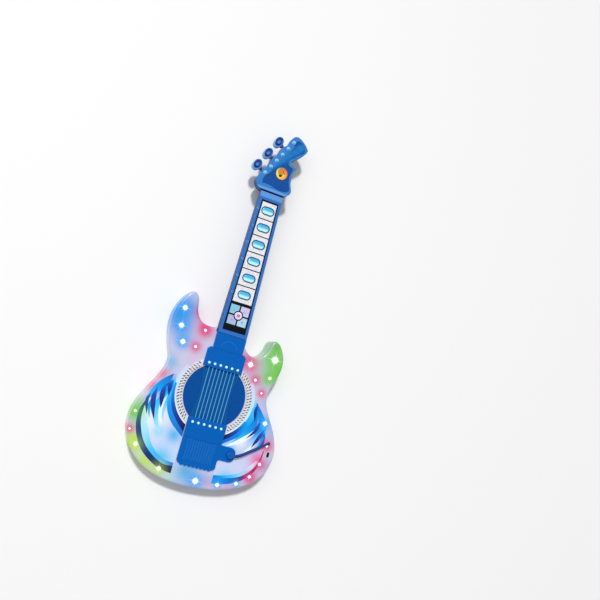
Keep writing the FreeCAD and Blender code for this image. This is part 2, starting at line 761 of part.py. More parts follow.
def string_bed():
    """The waisted plate under the strings, trimmed to the round sound hole."""
    half, pinch, reach = 31.0, 25.5, 52.0
    sides = [
        (half, -reach), (half - 0.4, -38), (pinch + 1.2, -18), (pinch, 2), (pinch + 1.4, 22),
        (half - 0.4, 40), (half, reach),
    ]
    outline = [
        spline(sides),
        line(sides[-1], (-half, reach)),
        spline([(-x, y) for x, y in reversed(sides)]),
        line((-half, -reach), sides[0]),
    ]
    face = Part.Face(Part.Wire([c.toShape() for c in outline]))
    bed = face.extrude(Vector(0, 0, 1.4))
    bed.translate(Vector(0, 0, plate_top()))
    round_hole = Part.makeCylinder(cell("hole_radius") - 0.4, 10, Vector(0, 0, plate_top() - 1))
    return solid_node("string_bed", bed.common(round_hole))


def cover_top_outline():
    """The upper cover's panel, its upper corners cut off."""
    wide, low, top = cell("cover_half"), cell("cover_top_y"), 75.5
    cut = 4.0
    return polygon([
        (-wide, low), (wide, low), (wide, top - cut), (wide - cut, top),
        (-wide + cut, top), (-wide, top - cut)])


def pin_row_xs():
    count, pitch = int(cell("pin_count")), cell("pin_pitch")
    return [(i - (count - 1) / 2) * pitch for i in range(count)]


def string_xs():
    count, pitch = int(cell("string_count")), cell("string_pitch")
    return [(i - (count - 1) / 2) * pitch for i in range(count)]


def cover_bosses(body, spots):
    """Bosses that stand on the body face, and the screw holes in them."""
    bosses = sketch(body, "bosses", "dims.body_thick")
    circles(bosses, spots, 3.0)
    pad(body, bosses, "dims.cover_rise - 1")
    pilots = sketch(body, "pilots", "dims.body_thick")
    circles(pilots, spots, "dims.screw_radius + dims.screw_fit")
    pocket(body, pilots, "dims.cover_rise - 1.6", up=True)


def string_slots(body, low_y, high_y):
    """Grooves in a cover's edge where the strings pass in."""
    slots = sketch(body, "string_slots", "dims.body_thick - 1")
    for x in string_xs():
        draw(slots, polygon([(x - 0.9, low_y), (x + 0.9, low_y), (x + 0.9, high_y), (x - 0.9, high_y)]))
    pocket(body, slots, "3.9", up=True)


def neck_cover():
    body = new_body("neck_cover")
    panel = sketch(body, "panel", "dims.body_thick")
    draw(panel, cover_top_outline())
    pad(body, panel, "dims.cover_rise")
    round_edges(body, "1.0", at_height(cell("body_thick") + cell("cover_rise")))
    heel = sketch(body, "heel", "dims.body_thick")
    rectangle(heel, "-dims.neck_low_half - 0.4", "dims.neck_low_half + 0.4", "74.3", "dims.notch_y - 0.2")
    pad(body, heel, "dims.cover_rise + 1")
    round_edges(body, "0.8", at_height(cell("body_thick") + cell("cover_rise") + 1))
    hollow = sketch(body, "hollow", "dims.body_thick")
    rectangle(hollow, "-dims.cover_half + 2", "dims.cover_half - 2", "dims.cover_top_y + 7.5", "70")
    rectangle(hollow, "-dims.neck_low_half + 2", "dims.neck_low_half - 2", "72", "dims.notch_y - 3")
    pocket(body, hollow, "dims.cover_rise - dims.cover_wall", up=True)
    cover_bosses(body, COVER_BOSSES_TOP)
    string_slots(body, cell("cover_top_y") - 1, cell("cover_top_y") + 3.5)
    holes = sketch(body, "pin_holes", "dims.body_thick + dims.cover_rise + 1")
    circles(holes, [(x, cell("cover_top_y") + 6.5) for x in pin_row_xs()], 1.05)
    pocket(body, holes, "2.6")
    thumb = sketch(body, "thumb_arc", "dims.body_thick + dims.cover_rise + 1.01")
    outer, inner = 13.5, 12.9
    draw(thumb, [
        arc((-outer, 80), (0, 90.5), (outer, 80)), line((outer, 80), (inner, 80)),
        arc((inner, 80), (0, 89.7), (-inner, 80)), line((-inner, 80), (-outer, 80))])
    pocket(body, thumb, "0.35")
    return body


def scallops(left, right, y, count, deep):
    """A wavy edge of equal arcs from left to right, hanging below y."""
    step = (right - left) / count
    edges = []
    for i in range(count):
        a, b = left + i * step, left + (i + 1) * step
        edges.append(arc((a, y), ((a + b) / 2, y - deep), (b, y)))
    return edges


def cover_low_outline():
    """Lower cover: a panel with a wavy lower edge and a rounded lobe for the tremolo pivot."""
    half, top, wave = cell("cover_half"), cell("cover_low_y"), -116.5
    lobe_top, lobe_low, lobe_end, r = -73.0, -97.0, 59.0, 9.0
    wave_left, wave_right = -27.0, 26.0
    k = r * (1 - math.sqrt(0.5))
    outline = [
        line((-half, top), (-half, wave + 7)),
        arc((-half, wave + 7), (-half + 1.6, wave + 1.9), (wave_left, wave)),
        *scallops(wave_left, wave_right, wave, 8, 2.2),
        arc((wave_right, wave), (half - 1.8, wave + 2.2), (half, wave + 8)),
        line((half, wave + 8), (half, lobe_low - 4)),
        arc((half, lobe_low - 4), (half + 1.17, lobe_low - 1.17), (half + 4, lobe_low)),
        line((half + 4, lobe_low), (lobe_end - r, lobe_low)),
        arc((lobe_end - r, lobe_low), (lobe_end - k, lobe_low + k), (lobe_end, lobe_low + r)),
        line((lobe_end, lobe_low + r), (lobe_end, lobe_top - r)),
        arc((lobe_end, lobe_top - r), (lobe_end - k, lobe_top - k), (lobe_end - r, lobe_top)),
        line((lobe_end - r, lobe_top), (half, lobe_top)),
        line((half, lobe_top), (half, top)),
        line((half, top), (-half, top)),
    ]
    return outline


def bridge_cover():
    body = new_body("bridge_cover")
    panel = sketch(body, "panel", "dims.body_thick")
    draw(panel, cover_low_outline())
    pad(body, panel, "dims.cover_rise - 0.6")
    saddle = sketch(body, "saddle", "dims.body_thick")
    rectangle(saddle, "-dims.cover_half", "dims.cover_half", "-73", "dims.cover_low_y")
    pad(body, saddle, "dims.cover_rise + 0.4")
    saddle_top = at_height(cell("body_thick") + cell("cover_rise") + 0.4)
    round_edges(body, "0.9", saddle_top)
    ribs = sketch(body, "ribs", "dims.body_thick + dims.cover_rise - 1")
    for i in range(11):
        x = (i - 5) * 4.4
        draw(ribs, stadium_upright(x, -92, 32, 1.5))
    pad(body, ribs, "0.9")
    low_top = at_height(cell("body_thick") + cell("cover_rise") - 0.6)
    lobe_x, left_x = cell("cover_half") + 0.2, -26

    def bare_edge(edge):
        """Edges of the low part's top away from the wavy edge."""
        return low_top(edge) and (edge.BoundBox.XMax > lobe_x or edge.BoundBox.XMax < left_x)

    round_edges(body, "0.8", bare_edge)
    hollow = sketch(body, "hollow", "dims.body_thick")
    rectangle(hollow, "-dims.cover_half + 2", "dims.cover_half - 2", "-110", "dims.cover_low_y - 12")
    pocket(body, hollow, "dims.cover_rise - 0.6 - dims.cover_wall", up=True)
    cover_bosses(body, COVER_BOSSES_LOW)
    string_slots(body, cell("cover_low_y") - 3.5, cell("cover_low_y") + 1)
    holes = sketch(body, "pin_holes", "dims.body_thick + dims.cover_rise + 1")
    circles(holes, [(x, cell("cover_low_y") - 7.5) for x in pin_row_xs()], 1.05)
    pocket(body, holes, "2.6")
    pivot = sketch(body, "pivot", "dims.body_thick - 1")
    circle(pivot, "dims.tremolo_x", "dims.tremolo_y", "dims.pivot_radius + dims.running_gap")
    pocket(body, pivot, "10", up=True)
    return body


def strings():
    """Straight wires between the two covers, each with a ball at both ends."""
    height = cell("body_thick") + 2.0
    low, high = cell("cover_low_y") - 2.6, cell("cover_top_y") + 2.6
    wires = []
    for x in string_xs():
        wire = Part.makeCylinder(cell("string_radius"), high - low, Vector(x, low, height), Vector(0, 1, 0))
        wires.append(wire)
    return solid_node("strings", Part.makeCompound(wires))


def string_pins():
    """Two rows of domed pins, one on each cover."""
    body = new_body("string_pin_master")
    radius = cell("pin_radius")
    stem, deep = 1.0, 1.4
    profile = [
        line((0, -deep), (stem, -deep)), line((stem, -deep), (stem, 0)), line((stem, 0), (radius, 0)),
        line((radius, 0), (radius, 0.5)), arc((radius, 0.5), (1.72, 1.25), (0.8, 1.6)),
        line((0.8, 1.6), (0, 1.6)),
        line((0, 1.6), (0, -deep))]
    turned(body, profile, "V_Axis")
    seat = cell("body_thick") + cell("cover_rise")
    rows = [(cell("cover_top_y") + 6.5, seat), (cell("cover_low_y") - 7.5, seat + 0.4)]
    return repeat("string_pins", body, [(x, y, height) for y, height in rows for x in pin_row_xs()])


# ---- neck -----------------------------------------------------------------------------------


def neck_front_shell():
    body = new_body("neck_front_moulding")
    strip = sketch(body, "strip", "dims.neck_split")
    draw(strip, taper(cell("neck_low_y"), cell("neck_top_y") + 1, 0))
    pad(body, strip, "dims.neck_face - dims.neck_split")
    head = sketch(body, "head", "dims.neck_split")
    draw(head, head_outer())
    pad(body, head, "dims.head_face - dims.neck_split")
    slope = sketch(body, "slope", role="YZ_Plane")
    face, low, y = cell("neck_face"), cell("head_face"), cell("slope_y")
    end = cell("neck_top_y") + 1.5
    draw(slope, polygon([(y, face), (end - 1.5, low), (end, low), (end, face + 1), (y, face + 1)]))
    cut = body.newObject("PartDesign::Pocket", "neck_slope_pocket")
    cut.Profile = slope
    cut.Midplane = True
    cut.Length = 3 * cell("neck_low_half")
    doc.recompute()
    nut = sketch(body, "nut_groove", "dims.head_face + 1")
    rectangle(
        nut, "-dims.neck_top_half - 2.4", "dims.neck_top_half + 2.4",
        "dims.neck_top_y - 1.4", "dims.neck_top_y + 1.8")
    pocket(body, nut, "dims.groove_deep + 1")
    long_side = (cell("slope_y") - cell("neck_low_y")) * 0.9
    top = at_height(face)
    round_edges(body, "2.0", lambda e: top(e) and e.Length > long_side)
    rim = at_height(low)
    round_edges(body, "1.2", lambda e: rim(e) and e.BoundBox.YMax > 345)
    sunk = sketch(body, "sunk_panel", "dims.head_face")
    draw(sunk, [spline(HEAD_PANEL, closed=True)])
    pocket(body, sunk, "1.0")
    hollow = sketch(body, "hollow", "dims.neck_split")
    draw(hollow, taper(cell("neck_low_y") + cell("wall"), cell("slope_y") - 2, cell("wall")))
    pocket(body, hollow, "dims.neck_face - dims.neck_split - 2", up=True)
    head_hollow = sketch(body, "head_hollow", "dims.neck_split")
    draw(head_hollow, head_inner())
    pocket(body, head_hollow, "dims.head_face - dims.neck_split - 2.6", up=True)
    bosses = sketch(body, "bosses", "dims.neck_split")
    circles(bosses, HEAD_BOSSES, 2.8)
    pad(body, bosses, "dims.head_face - dims.neck_split - 2.4")
    tall = sketch(body, "tall_bosses", "dims.neck_split")
    circles(tall, NECK_BOSSES, 2.8)
    pad(body, tall, "dims.neck_face - dims.neck_split - 1.5")
    pilots = sketch(body, "pilots", "dims.neck_split")
    circles(pilots, NECK_BOSSES + HEAD_BOSSES, "dims.screw_radius + dims.screw_fit")
    pocket(body, pilots, "4", up=True)
    keys = sketch(body, "key_holes", "dims.neck_face + 1")
    gap = 2 * cell("key_gap")
    for y in key_ys():
        draw(keys, stadium(0, y, cell("key_long") + gap, cell("key_wide") + gap))
    corner = corner_key(grow=cell("key_gap"), ring=cell("ring_radius") - cell("key_gap"))
    for flip_x in (False, True):
        for flip_y in (False, True):
            draw(keys, moved(corner, 0, cell("pad_y"), flip_x, flip_y))
    circle(keys, 0, "dims.pad_y", "dims.round_radius + dims.key_gap")
    pocket(body, keys, "4")
    frets = sketch(body, "fret_grooves", "dims.neck_face")
    for i in range(int(cell("key_count")) + 1):
        y = cell("key_first_y") + (i - 0.5) * cell("key_pitch")
        for side in (-1, 1):
            outer, inner = side * (neck_half(y) + 1), side * (neck_half(y) - 4.6)
            draw(frets, polygon([(inner, y - 0.4), (outer, y - 0.4), (outer, y + 0.4), (inner, y + 0.4)]))
    pocket(body, frets, "0.45")
    return drilled("neck_front_shell", body, tuner_drills())


def tuner_placement(index):
    """Puts +X of a tuner along its shaft, towards the headstock."""
    x, y = KNOB_SPOTS[index]
    return Placement(Vector(x, y, cell("neck_split")), Rotation(Vector(0, 0, 1), KNOB_HEADING))


def tuner_drills():
    """Bearing holes for the three tuner shafts, and wider pockets for their flanges."""
    drills = []
    for index in range(len(KNOB_SPOTS)):
        for radius, length, start in (
                ("dims.shaft_radius + dims.running_gap", "12", 8.0), ("3.7", "2.4", 14.6)):
            along = Placement(Vector(start, 0, 0), Rotation(Vector(0, 0, 1), Vector(1, 0, 0)))
            drills.append((radius, length, tuner_placement(index).multiply(along)))
    return drills


def neck_back_shell():
    body = new_body("neck_back_moulding")
    strip = sketch(body, "strip", "dims.neck_back")
    draw(strip, taper(cell("neck_low_y"), cell("neck_top_y") - 0.1, 0))
    pad(body, strip, "dims.neck_split - dims.neck_back")
    back = at_height(cell("neck_back"))
    long_side = (cell("slope_y") - cell("neck_low_y")) * 0.9
    round_edges(body, "6.5", lambda e: back(e) and e.Length > long_side)
    head = sketch(body, "head", "dims.head_back")
    draw(head, head_outer())
    pad(body, head, "dims.neck_split - dims.head_back")
    rim = at_height(cell("head_back"))
    round_edges(body, "1.2", lambda e: rim(e) and e.BoundBox.YMax > 345)
    # Joins the neck's back to the headstock's back, just inside both.
    joint = sketch(body, "joint", "dims.head_back + 1.5")
    draw(joint, taper(cell("neck_top_y") - 6, cell("neck_top_y") + 1, 2))
    pad(body, joint, "dims.neck_split - dims.head_back - 1.5")
    tongue = sketch(body, "tongue", "dims.tongue_low")
    rectangle(tongue, "-dims.tongue_half", "dims.tongue_half", "dims.tongue_y", "dims.neck_low_y + 1")
    pad(body, tongue, "dims.tongue_top - dims.tongue_low")
    hollow = sketch(body, "hollow", "dims.neck_split")
    draw(hollow, taper(cell("neck_low_y") + cell("wall"), cell("slope_y") - 2, 5.2))
    pocket(body, hollow, "dims.neck_split - dims.neck_back - dims.wall")
    head_hollow = sketch(body, "head_hollow", "dims.neck_split")
    draw(head_hollow, head_inner())
    pocket(body, head_hollow, "dims.neck_split - dims.head_back - dims.wall")
    channel = sketch(body, "channel", "dims.tongue_low + 1.6")
    rectangle(channel, "-8", "8", "dims.tongue_y - 1", "dims.neck_low_y + 4")
    pocket(body, channel, "4", up=True)
    posts = sketch(body, "board_posts", "dims.neck_back + 1")
    for y in FRET_POSTS_Y:
        circles(posts, [(-8, y), (8, y)], 1.8)
    pad(body, posts, "dims.neck_split + 2.5 - dims.neck_back - 1")
    bosses = sketch(body, "bosses", "dims.neck_back + 1.5")
    circles(bosses, NECK_BOSSES, 3.9)
    pad(body, bosses, "dims.neck_split - dims.neck_back - 1.5")
    head_bosses = sketch(body, "head_bosses", "dims.head_back + 1")
    circles(head_bosses, HEAD_BOSSES, 3.9)
    pad(body, head_bosses, "dims.neck_split - dims.head_back - 1")
    sinks = sketch(body, "sinks", "0")
    circles(sinks, NECK_BOSSES + HEAD_BOSSES, "dims.screw_head + 0.2")
    pocket(body, sinks, "29.2", up=True)
    holes = sketch(body, "screw_holes", "0")
    circles(holes, NECK_BOSSES + HEAD_BOSSES, "dims.screw_radius + 0.2")
    pocket(body, holes, "dims.neck_split + 1", up=True)
    tongue_holes = sketch(body, "tongue_holes", "dims.tongue_low - 1")
    circles(tongue_holes, TONGUE_SCREWS, "dims.screw_radius + dims.screw_fit")
    pocket(body, tongue_holes, "7.5", up=True)
    return drilled("neck_back_shell", body, tuner_drills())


def key_opening(grow):
    """Outlines of all the openings that the keys need, grown by a distance."""
    outlines = [stadium(0, y, cell("key_long") + 2 * grow, cell("key_wide") + 2 * grow) for y in key_ys()]
    corner = corner_key(grow=grow, ring=cell("ring_radius") - grow)
    for flip_x in (False, True):
        for flip_y in (False, True):
            outlines.append(moved(corner, 0, cell("pad_y"), flip_x, flip_y))
    return outlines


def fretboard_label():
    """The black printed label, cut out for every key."""
    body = new_body("fretboard_label")
    strip = sketch(body, "strip", "dims.neck_face")
    draw(strip, taper(cell("label_low_y"), cell("label_top_y"), cell("label_less")))
    pad(body, strip, "dims.label_thick")
    openings = sketch(body, "openings", "dims.neck_face - 1")
    draw(openings, *key_opening(cell("key_gap") + 0.05))
    circle(openings, 0, "dims.pad_y", "dims.round_radius + dims.key_gap + 0.05")
    pocket(body, openings, "3", up=True)
    return body


def around_key(y, grow):
    """The outline of the opening round a fret key, grown by a distance."""
    open_by = 0.6 + 2 * grow
    return stadium(0, y, cell("key_long") + open_by, cell("key_wide") + open_by)


def glitter_tiles():
    """One glitter tile round each fret key."""
    body = new_body("glitter_tiles")
    tiles = sketch(body, "tiles", "dims.neck_face + dims.label_thick")
    half = (cell("key_pitch") - 1.7) / 2  # leaves a dark line between tiles
    for y in key_ys():
        draw(tiles, taper(y - half, y + half, cell("tile_less")))
        draw(tiles, around_key(y, 0))
    pad(body, tiles, "dims.tile_thick")
    return body


def key_bezels():
    """A raised dark rim round each fret key."""
    body = new_body("key_bezels")
    rims = sketch(body, "rims", "dims.neck_face + dims.label_thick + dims.tile_thick")
    for y in key_ys():
        draw(rims, around_key(y, cell("bezel_wide")))
        draw(rims, around_key(y, 0))
    pad(body, rims, "dims.bezel_rise")
    return body


def fret_key(index):
    """A pill-shaped key with a flange under the neck's face and a plunger over its dome."""
    body = new_body(f"fret_key_{index + 1}")
    y = key_ys()[index]
    cap = sketch(body, "cap", "dims.neck_face - 2.4")
    draw(cap, stadium(0, y, cell("key_long"), cell("key_wide")))
    pad(body, cap, "dims.key_top - dims.neck_face + 2.4")
    round_edges(body, "1.6", at_height(cell("key_top")))
    flange = sketch(body, "flange", "dims.neck_face - 2.2")
    draw(flange, stadium(0, y, cell("key_long") + 2.6, cell("key_wide") + 2.6))
    pad(body, flange, "1.3", down=True)
    plunger = sketch(body, "plunger", "dims.neck_face - 4.1")
    circle(plunger, 0, y, 3.0)
    pad(body, plunger, "1")
    return body


def corner_pad_key(label, flip_x, flip_y):
    """One of the four corner keys of the control pad."""
    body = new_body(label)
    cap = sketch(body, "cap", "dims.neck_face - 2.4")
    draw(cap, moved(corner_key(), 0, cell("pad_y"), flip_x, flip_y))
    pad(body, cap, "3.8")
    round_edges(body, "0.5", at_height(cell("neck_face") + 1.4))
    flange = sketch(body, "flange", "dims.neck_face - 2.2")
    draw(flange, moved(corner_key(0.7, cell("ring_radius") - 0.6), 0, cell("pad_y"), flip_x, flip_y))
    pad(body, flange, "1.3", down=True)
    plunger = sketch(body, "plunger", "dims.neck_face - 4.1")
    reach = 10.0
    x, y = (-reach if flip_x else reach), cell("pad_y") + (-reach if flip_y else reach)
    circle(plunger, x, y, 2.4)
    pad(body, plunger, "1")
    return body


def round_key():
    body = new_body("round_key")
    cap = sketch(body, "cap", "dims.neck_face - 2.4")
    circle(cap, 0, "dims.pad_y", "dims.round_radius")
    pad(body, cap, "4.1")
    round_edges(body, "0.9", at_height(cell("neck_face") + 1.7))
    flange = sketch(body, "flange", "dims.neck_face - 2.2")
    circle(flange, 0, "dims.pad_y", "dims.round_radius + 0.7")
    pad(body, flange, "1.3", down=True)
    plunger = sketch(body, "plunger", "dims.neck_face - 4.1")
    circle(plunger, 0, "dims.pad_y", 2.4)
    pad(body, plunger, "1")
    return body


def key_contacts():
    """Where the keypad has a dome."""
    y, reach = cell("pad_y"), 10.0
    corners = [(sx * reach, y + sy * reach) for sx in (-1, 1) for sy in (-1, 1)]
    return [(0, k) for k in key_ys()] + corners + [(0, y)]


def fret_board():
    """The long circuit board under the keys, on posts in the neck's back."""
    body = new_body("fret_board")
    board = sketch(body, "board", "dims.neck_split + 2.5")
    rectangle(board, "-13.2", "13.2", "dims.neck_low_y + 14", "dims.key_first_y - 14")
    pad(body, board, "1.2")
    strip = sketch(body, "strip", "dims.neck_split + 2.5")
    rectangle(strip, "-9", "9", "dims.key_first_y - 15", "318")
    pad(body, strip, "1.2")
    return body


def keypad():
    """The silicone sheet on the board, with a dome under each key."""
    body = new_body("rubber_keypad")
    low = "dims.neck_split + 3.7"
    sheet = sketch(body, "sheet", low)
    rectangle(sheet, "-13", "13", "dims.neck_low_y + 15", "dims.key_first_y - 15")
    pad(body, sheet, "0.9")
    strip = sketch(body, "strip", low)
    rectangle(strip, "-8", "8", "dims.key_first_y - 16", "317")
    pad(body, strip, "0.9")
    domes = sketch(body, "domes", low)
    circles(domes, key_contacts(), 3.0)
    pad(body, domes, "1.8")
    return body


def tuner(index):
    """An oval knob, dished on both faces, on a shaft with a collar and a retaining flange."""
    body = new_body(f"tuner_{index + 1}")
    half = cell("knob_thick") / 2
    # Each ellipse has its long axis across the shaft, which runs along the body's +X.
    knob = sketch(body, "knob", "-dims.knob_thick / 2")
    draw(knob, [oval(cell("knob_long"), cell("knob_wide"))])
    pad(body, knob, "dims.knob_thick")
    round_edges(body, "1.4", lambda e: at_height(half)(e) or at_height(-half)(e))
    rim = 2.3
    faces = (("dish_front", "dims.knob_thick / 2", False), ("dish_back", "-dims.knob_thick / 2", True))
    for name, height, up in faces:
        dish = sketch(body, name, height)
        draw(dish, [oval(cell("knob_long") - rim, cell("knob_wide") - rim)])
        draw(dish, [oval(cell("knob_long") * 0.42, cell("knob_wide") * 0.42)])
        pocket(body, dish, "1.8", up=up)
    shaft = sketch(body, "shaft", "4.5", role="YZ_Plane")
    circle(shaft, 0, 0, "dims.shaft_radius")
    pad(body, shaft, "11.6")
    collar = sketch(body, "collar", "6.0", role="YZ_Plane")
    circle(collar, 0, 0, 3.6)
    pad(body, collar, "3.1")
    flange = sketch(body, "flange", "14.9", role="YZ_Plane")
    circle(flange, 0, 0, 3.4)
    pad(body, flange, "1.2")
    body.Placement = tuner_placement(index)
    return body


def oval(long, wide):
    """An ellipse about the origin with its long axis along Y."""
    return Part.Ellipse(Vector(0, long, 0), Vector(-wide, 0, 0), Vector(0, 0, 0))


def string_posts():
    body = new_body("string_post_master")
    profile = [
        line((0, 0), (3.0, 0)), line((3.0, 0), (3.0, 0.6)), line((3.0, 0.6), (2.1, 0.9)),
        line((2.1, 0.9), (2.1, 2.6)), arc((2.1, 2.6), (1.8, 3.3), (1.1, 3.6)), line((1.1, 3.6), (0, 3.6)),
        line((0, 3.6), (0, 0))]
    turned(body, profile, "V_Axis")
    first_x, first_y = -20.4, 364.5
    spots = [(first_x + i * cell("post_pitch_x"), first_y + i * cell("post_pitch_y")) for i in range(6)]
    return repeat("string_posts", body, lifted(spots, cell("head_face")))


def headstock_badge():
    body = new_body("headstock_badge")
    disc = sketch(body, "disc", "dims.head_face - 1")
    circle(disc, 6.5, 372, 9.6)
    pad(body, disc, "0.9")
    round_edges(body, "0.4", at_height(cell("head_face") - 0.1))
    return body


# ---- tremolo --------------------------------------------------------------------------------


def coil_spring(pitch, length, radius, wire):
    """A coil spring along +Z, wound from eight-sided wire."""
    corners = []
    for k in range(8):
        angle = 2 * math.pi * (k + 0.5) / 8
        corners.append(Vector(radius + wire * math.cos(angle), 0, wire * math.sin(angle)))
    profile = Part.makePolygon(corners + corners[:1])
    return Part.Wire(Part.makeHelix(pitch, length, radius)).makePipeShell([profile], True, True)


def tremolo_arm():
    """A round hub on a shaft through the cover, with a bent round arm and a ball end."""
    x, y = cell("tremolo_x"), cell("tremolo_y")
    seat, deep = tremolo_seat(), cell("shaft_deep")
    shaft, hub, rise = cell("pivot_radius"), 6.0, 6.0
    body = new_body("tremolo_hub")
    profile = [
        line((0, -deep), (shaft, -deep)), line((shaft, -deep), (shaft, 0)), line((shaft, 0), (hub, 0)),
        line((hub, 0), (hub, rise - 2)), arc((hub, rise - 2), (hub - 0.6, rise - 0.6), (hub - 2, rise)),
        line((hub - 2, rise), (0, rise)), line((0, rise), (0, -deep))]
    turned(body, profile, "V_Axis")
    body.Placement = Placement(Vector(x, y, seat), Rotation())
    doc.recompute()
    level = seat + 3.3
    path = Part.BSplineCurve()
    path.interpolate([
        Vector(x + 2, y, level), Vector(x + 9, y + 0.6, level), Vector(x + 16, y + 3.6, level),
        Vector(x + 24, y + 9, level), Vector(x + 40, y + 21, level), Vector(x + 57.5, y + 34, level)])
    spine = Part.Wire(path.toShape())
    rings = []
    for u, radius in ((path.FirstParameter, 2.7), (path.LastParameter, 2.0)):
        rings.append(Part.Wire(Part.Circle(path.value(u), path.tangent(u)[0], radius).toShape()))
    arm = spine.makePipeShell(rings, True, False)
    end, heading = path.value(path.LastParameter), path.tangent(path.LastParameter)[0]
    ball = Part.makeSphere(2.7, end, heading, -80, 80)
    # A small hole in the shaft's end takes the screw that holds the cam.
    pilot = Part.makeCylinder(cell("screw_radius") + cell("screw_fit"), 9, Vector(x, y, seat - deep - 0.5))
    whole = body.Shape.fuse([arm, ball]).removeSplitter().cut(pilot)
    return solid_node("tremolo_arm", whole)


def tremolo_seat():
    """Height of the hub's underside, on the lobe of the lower cover."""
    return cell("body_thick") + cell("cover_rise") - 0.5


def cam_level():
    """Height of the cam's underside."""
    return tremolo_seat() - cell("shaft_deep") - 1.0


def tremolo_cam():
    """The finger plate screwed to the shaft's end."""
    x, y = cell("tremolo_x"), cell("tremolo_y")
    z = cam_level()
    plate = Part.makeCylinder(5.5, 3.5, Vector(x, y, z))
    finger = Part.makeBox(13, 3, 3.5, Vector(x - 13, y - 1.5, z))
    seat = Part.makeCylinder(cell("pivot_radius") + 0.02, 3, Vector(x, y, z + 1))
    hole = Part.makeCylinder(cell("screw_radius") + cell("screw_fit"), 5, Vector(x, y, z - 1))
    return solid_node("tremolo_cam", plate.fuse(finger).cut(seat).cut(hole).removeSplitter())


def tremolo_screw():
    screw = screw_shape(8.0, 1.6)
    screw.translate(Vector(cell("tremolo_x"), cell("tremolo_y"), cam_level()))
    return solid_node("tremolo_screw", screw)


def tremolo_spring():
    """The centring spring between the body face and the cam."""
    spring = coil_spring(pitch=1.5, length=4.1, radius=4.2, wire=0.4)
    spring.translate(Vector(cell("tremolo_x"), cell("tremolo_y"), cam_level() + 4.4))
    return solid_node("tremolo_spring", spring)


def tremolo_switch():
    """The small switch that the cam's finger presses."""
    x, y = SWITCH_SPOT
    case = Part.makeBox(6, 6, 5, Vector(x - 3, y - 3, cam_level() - 1))
    board = Part.makeBox(10, 9, 1.2, Vector(x - 5, y - 4.5, cam_level() - 2.2))
    return solid_node("tremolo_switch", case.fuse(board).removeSplitter())


# ---- power, sound and lamps -----------------------------------------------------------------


def battery_door():
    body = new_body("battery_door")
    plate = sketch(body, "plate")
    rectangle(
        plate, "-dims.door_half_x + dims.door_gap", "dims.door_half_x - dims.door_gap",
        "dims.box_y - dims.door_half_y + dims.door_gap", "dims.box_y + dims.door_half_y - dims.door_gap")
    pad(body, plate, "dims.door_thick")
    grips = sketch(body, "grips")
    for i in range(5):
        y = cell("box_y") + 14 + i * 2.6
        draw(grips, stadium(0, y, 22, 1.3))
    pocket(body, grips, "0.7", up=True)
    sinks = sketch(body, "sinks")
    circles(sinks, door_screw_spots(), "dims.screw_head + 0.15")
    pocket(body, sinks, "1.3", up=True)
    holes = sketch(body, "holes")
    circles(holes, door_screw_spots(), "dims.screw_radius + 0.2")
    pocket(body, holes, "4", up=True)
    return body


def cell_xs():
    return [(i - 1) * cell("cell_pitch") for i in range(3)]


def cell_height():
    return cell("door_thick") + 0.5 + cell("cell_radius")


def button_reach():
    """How far the cells' button ends lie from the middle of the battery space."""
    plate_room = 0.5
    return cell("box_half_y") - plate_room


def battery_cells():
    """Three AA cells side by side, the middle one the other way round."""
    radius, long, button = cell("cell_radius"), cell("cell_long"), cell("button_long")
    shoulder = button_reach() - button
    cells = []
    for i, x in enumerate(cell_xs()):
        can = Part.makeCylinder(radius, long, Vector(0, shoulder - long, 0), Vector(0, 1, 0))
        ends = [e for e in can.Edges if e.Length > radius and e.BoundBox.YLength < EPS]
        tip = Part.makeCylinder(2.7, button, Vector(0, shoulder, 0), Vector(0, 1, 0))
        one = can.makeFillet(0.6, ends).fuse(tip)
        if i == 1:
            one.rotate(Vector(0, 0, 0), Vector(0, 0, 1), 180)
        one.translate(Vector(x, cell("box_y"), cell_height()))
        cells.append(one)
    return solid_node("battery_cells", Part.makeCompound(cells))


def battery_contacts():
    """A plate on both end walls for each cell, with a coil spring at its flat end."""
    thick, wide, tall, gap = 0.4, 12.0, 12.0, 0.05
    coil_radius, wire = 3.4, 0.35
    solids = []
    for i, x in enumerate(cell_xs()):
        flat = 1 if i == 1 else -1
        for side in (-1, 1):
            inner = side * (cell("box_half_y") - gap - thick)
            near = min(inner, inner + side * thick)
            plate = Part.makeBox(wide, thick, tall, Vector(-wide / 2, near, -tall / 2))
            if side == flat:
                room = button_reach() + inner * side - cell("cell_long") - cell("button_long") - 2 * wire
                spring = coil_spring(1.1, room, coil_radius, wire)
                spring.rotate(Vector(0, 0, 0), Vector(1, 0, 0), 90 * side)
                spring.translate(Vector(0, inner - side * wire, 0))
                solids.append(spring.translated(Vector(x, cell("box_y"), cell_height())))
            solids.append(plate.translated(Vector(x, cell("box_y"), cell_height())))
    return solid_node("battery_contacts", Part.makeCompound(solids))


def speaker_basket():
    body = new_body("speaker_basket")
    r = cell("speaker_radius")
    profile = polygon([
        (r, 2.4), (r, 4.0), (r - 3, 4.0), (16, 12.4), (12.2, 12.4), (12.2, 11.6), (15.5, 11.6),
        (r - 4, 3.2), (r - 4, 2.4)])
    turned(body, profile, "V_Axis")
    body.Placement = Placement(Vector(0, cell("speaker_y"), 0), Rotation())
    return body


def speaker_magnet():
    body = new_body("speaker_magnet")
    profile = polygon([(0, 12.6), (14, 12.6), (14, 18.4), (15, 18.4), (15, 19.8), (0, 19.8)])
    turned(body, profile, "V_Axis")
    body.Placement = Placement(Vector(0, cell("speaker_y"), 0), Rotation())
    return body


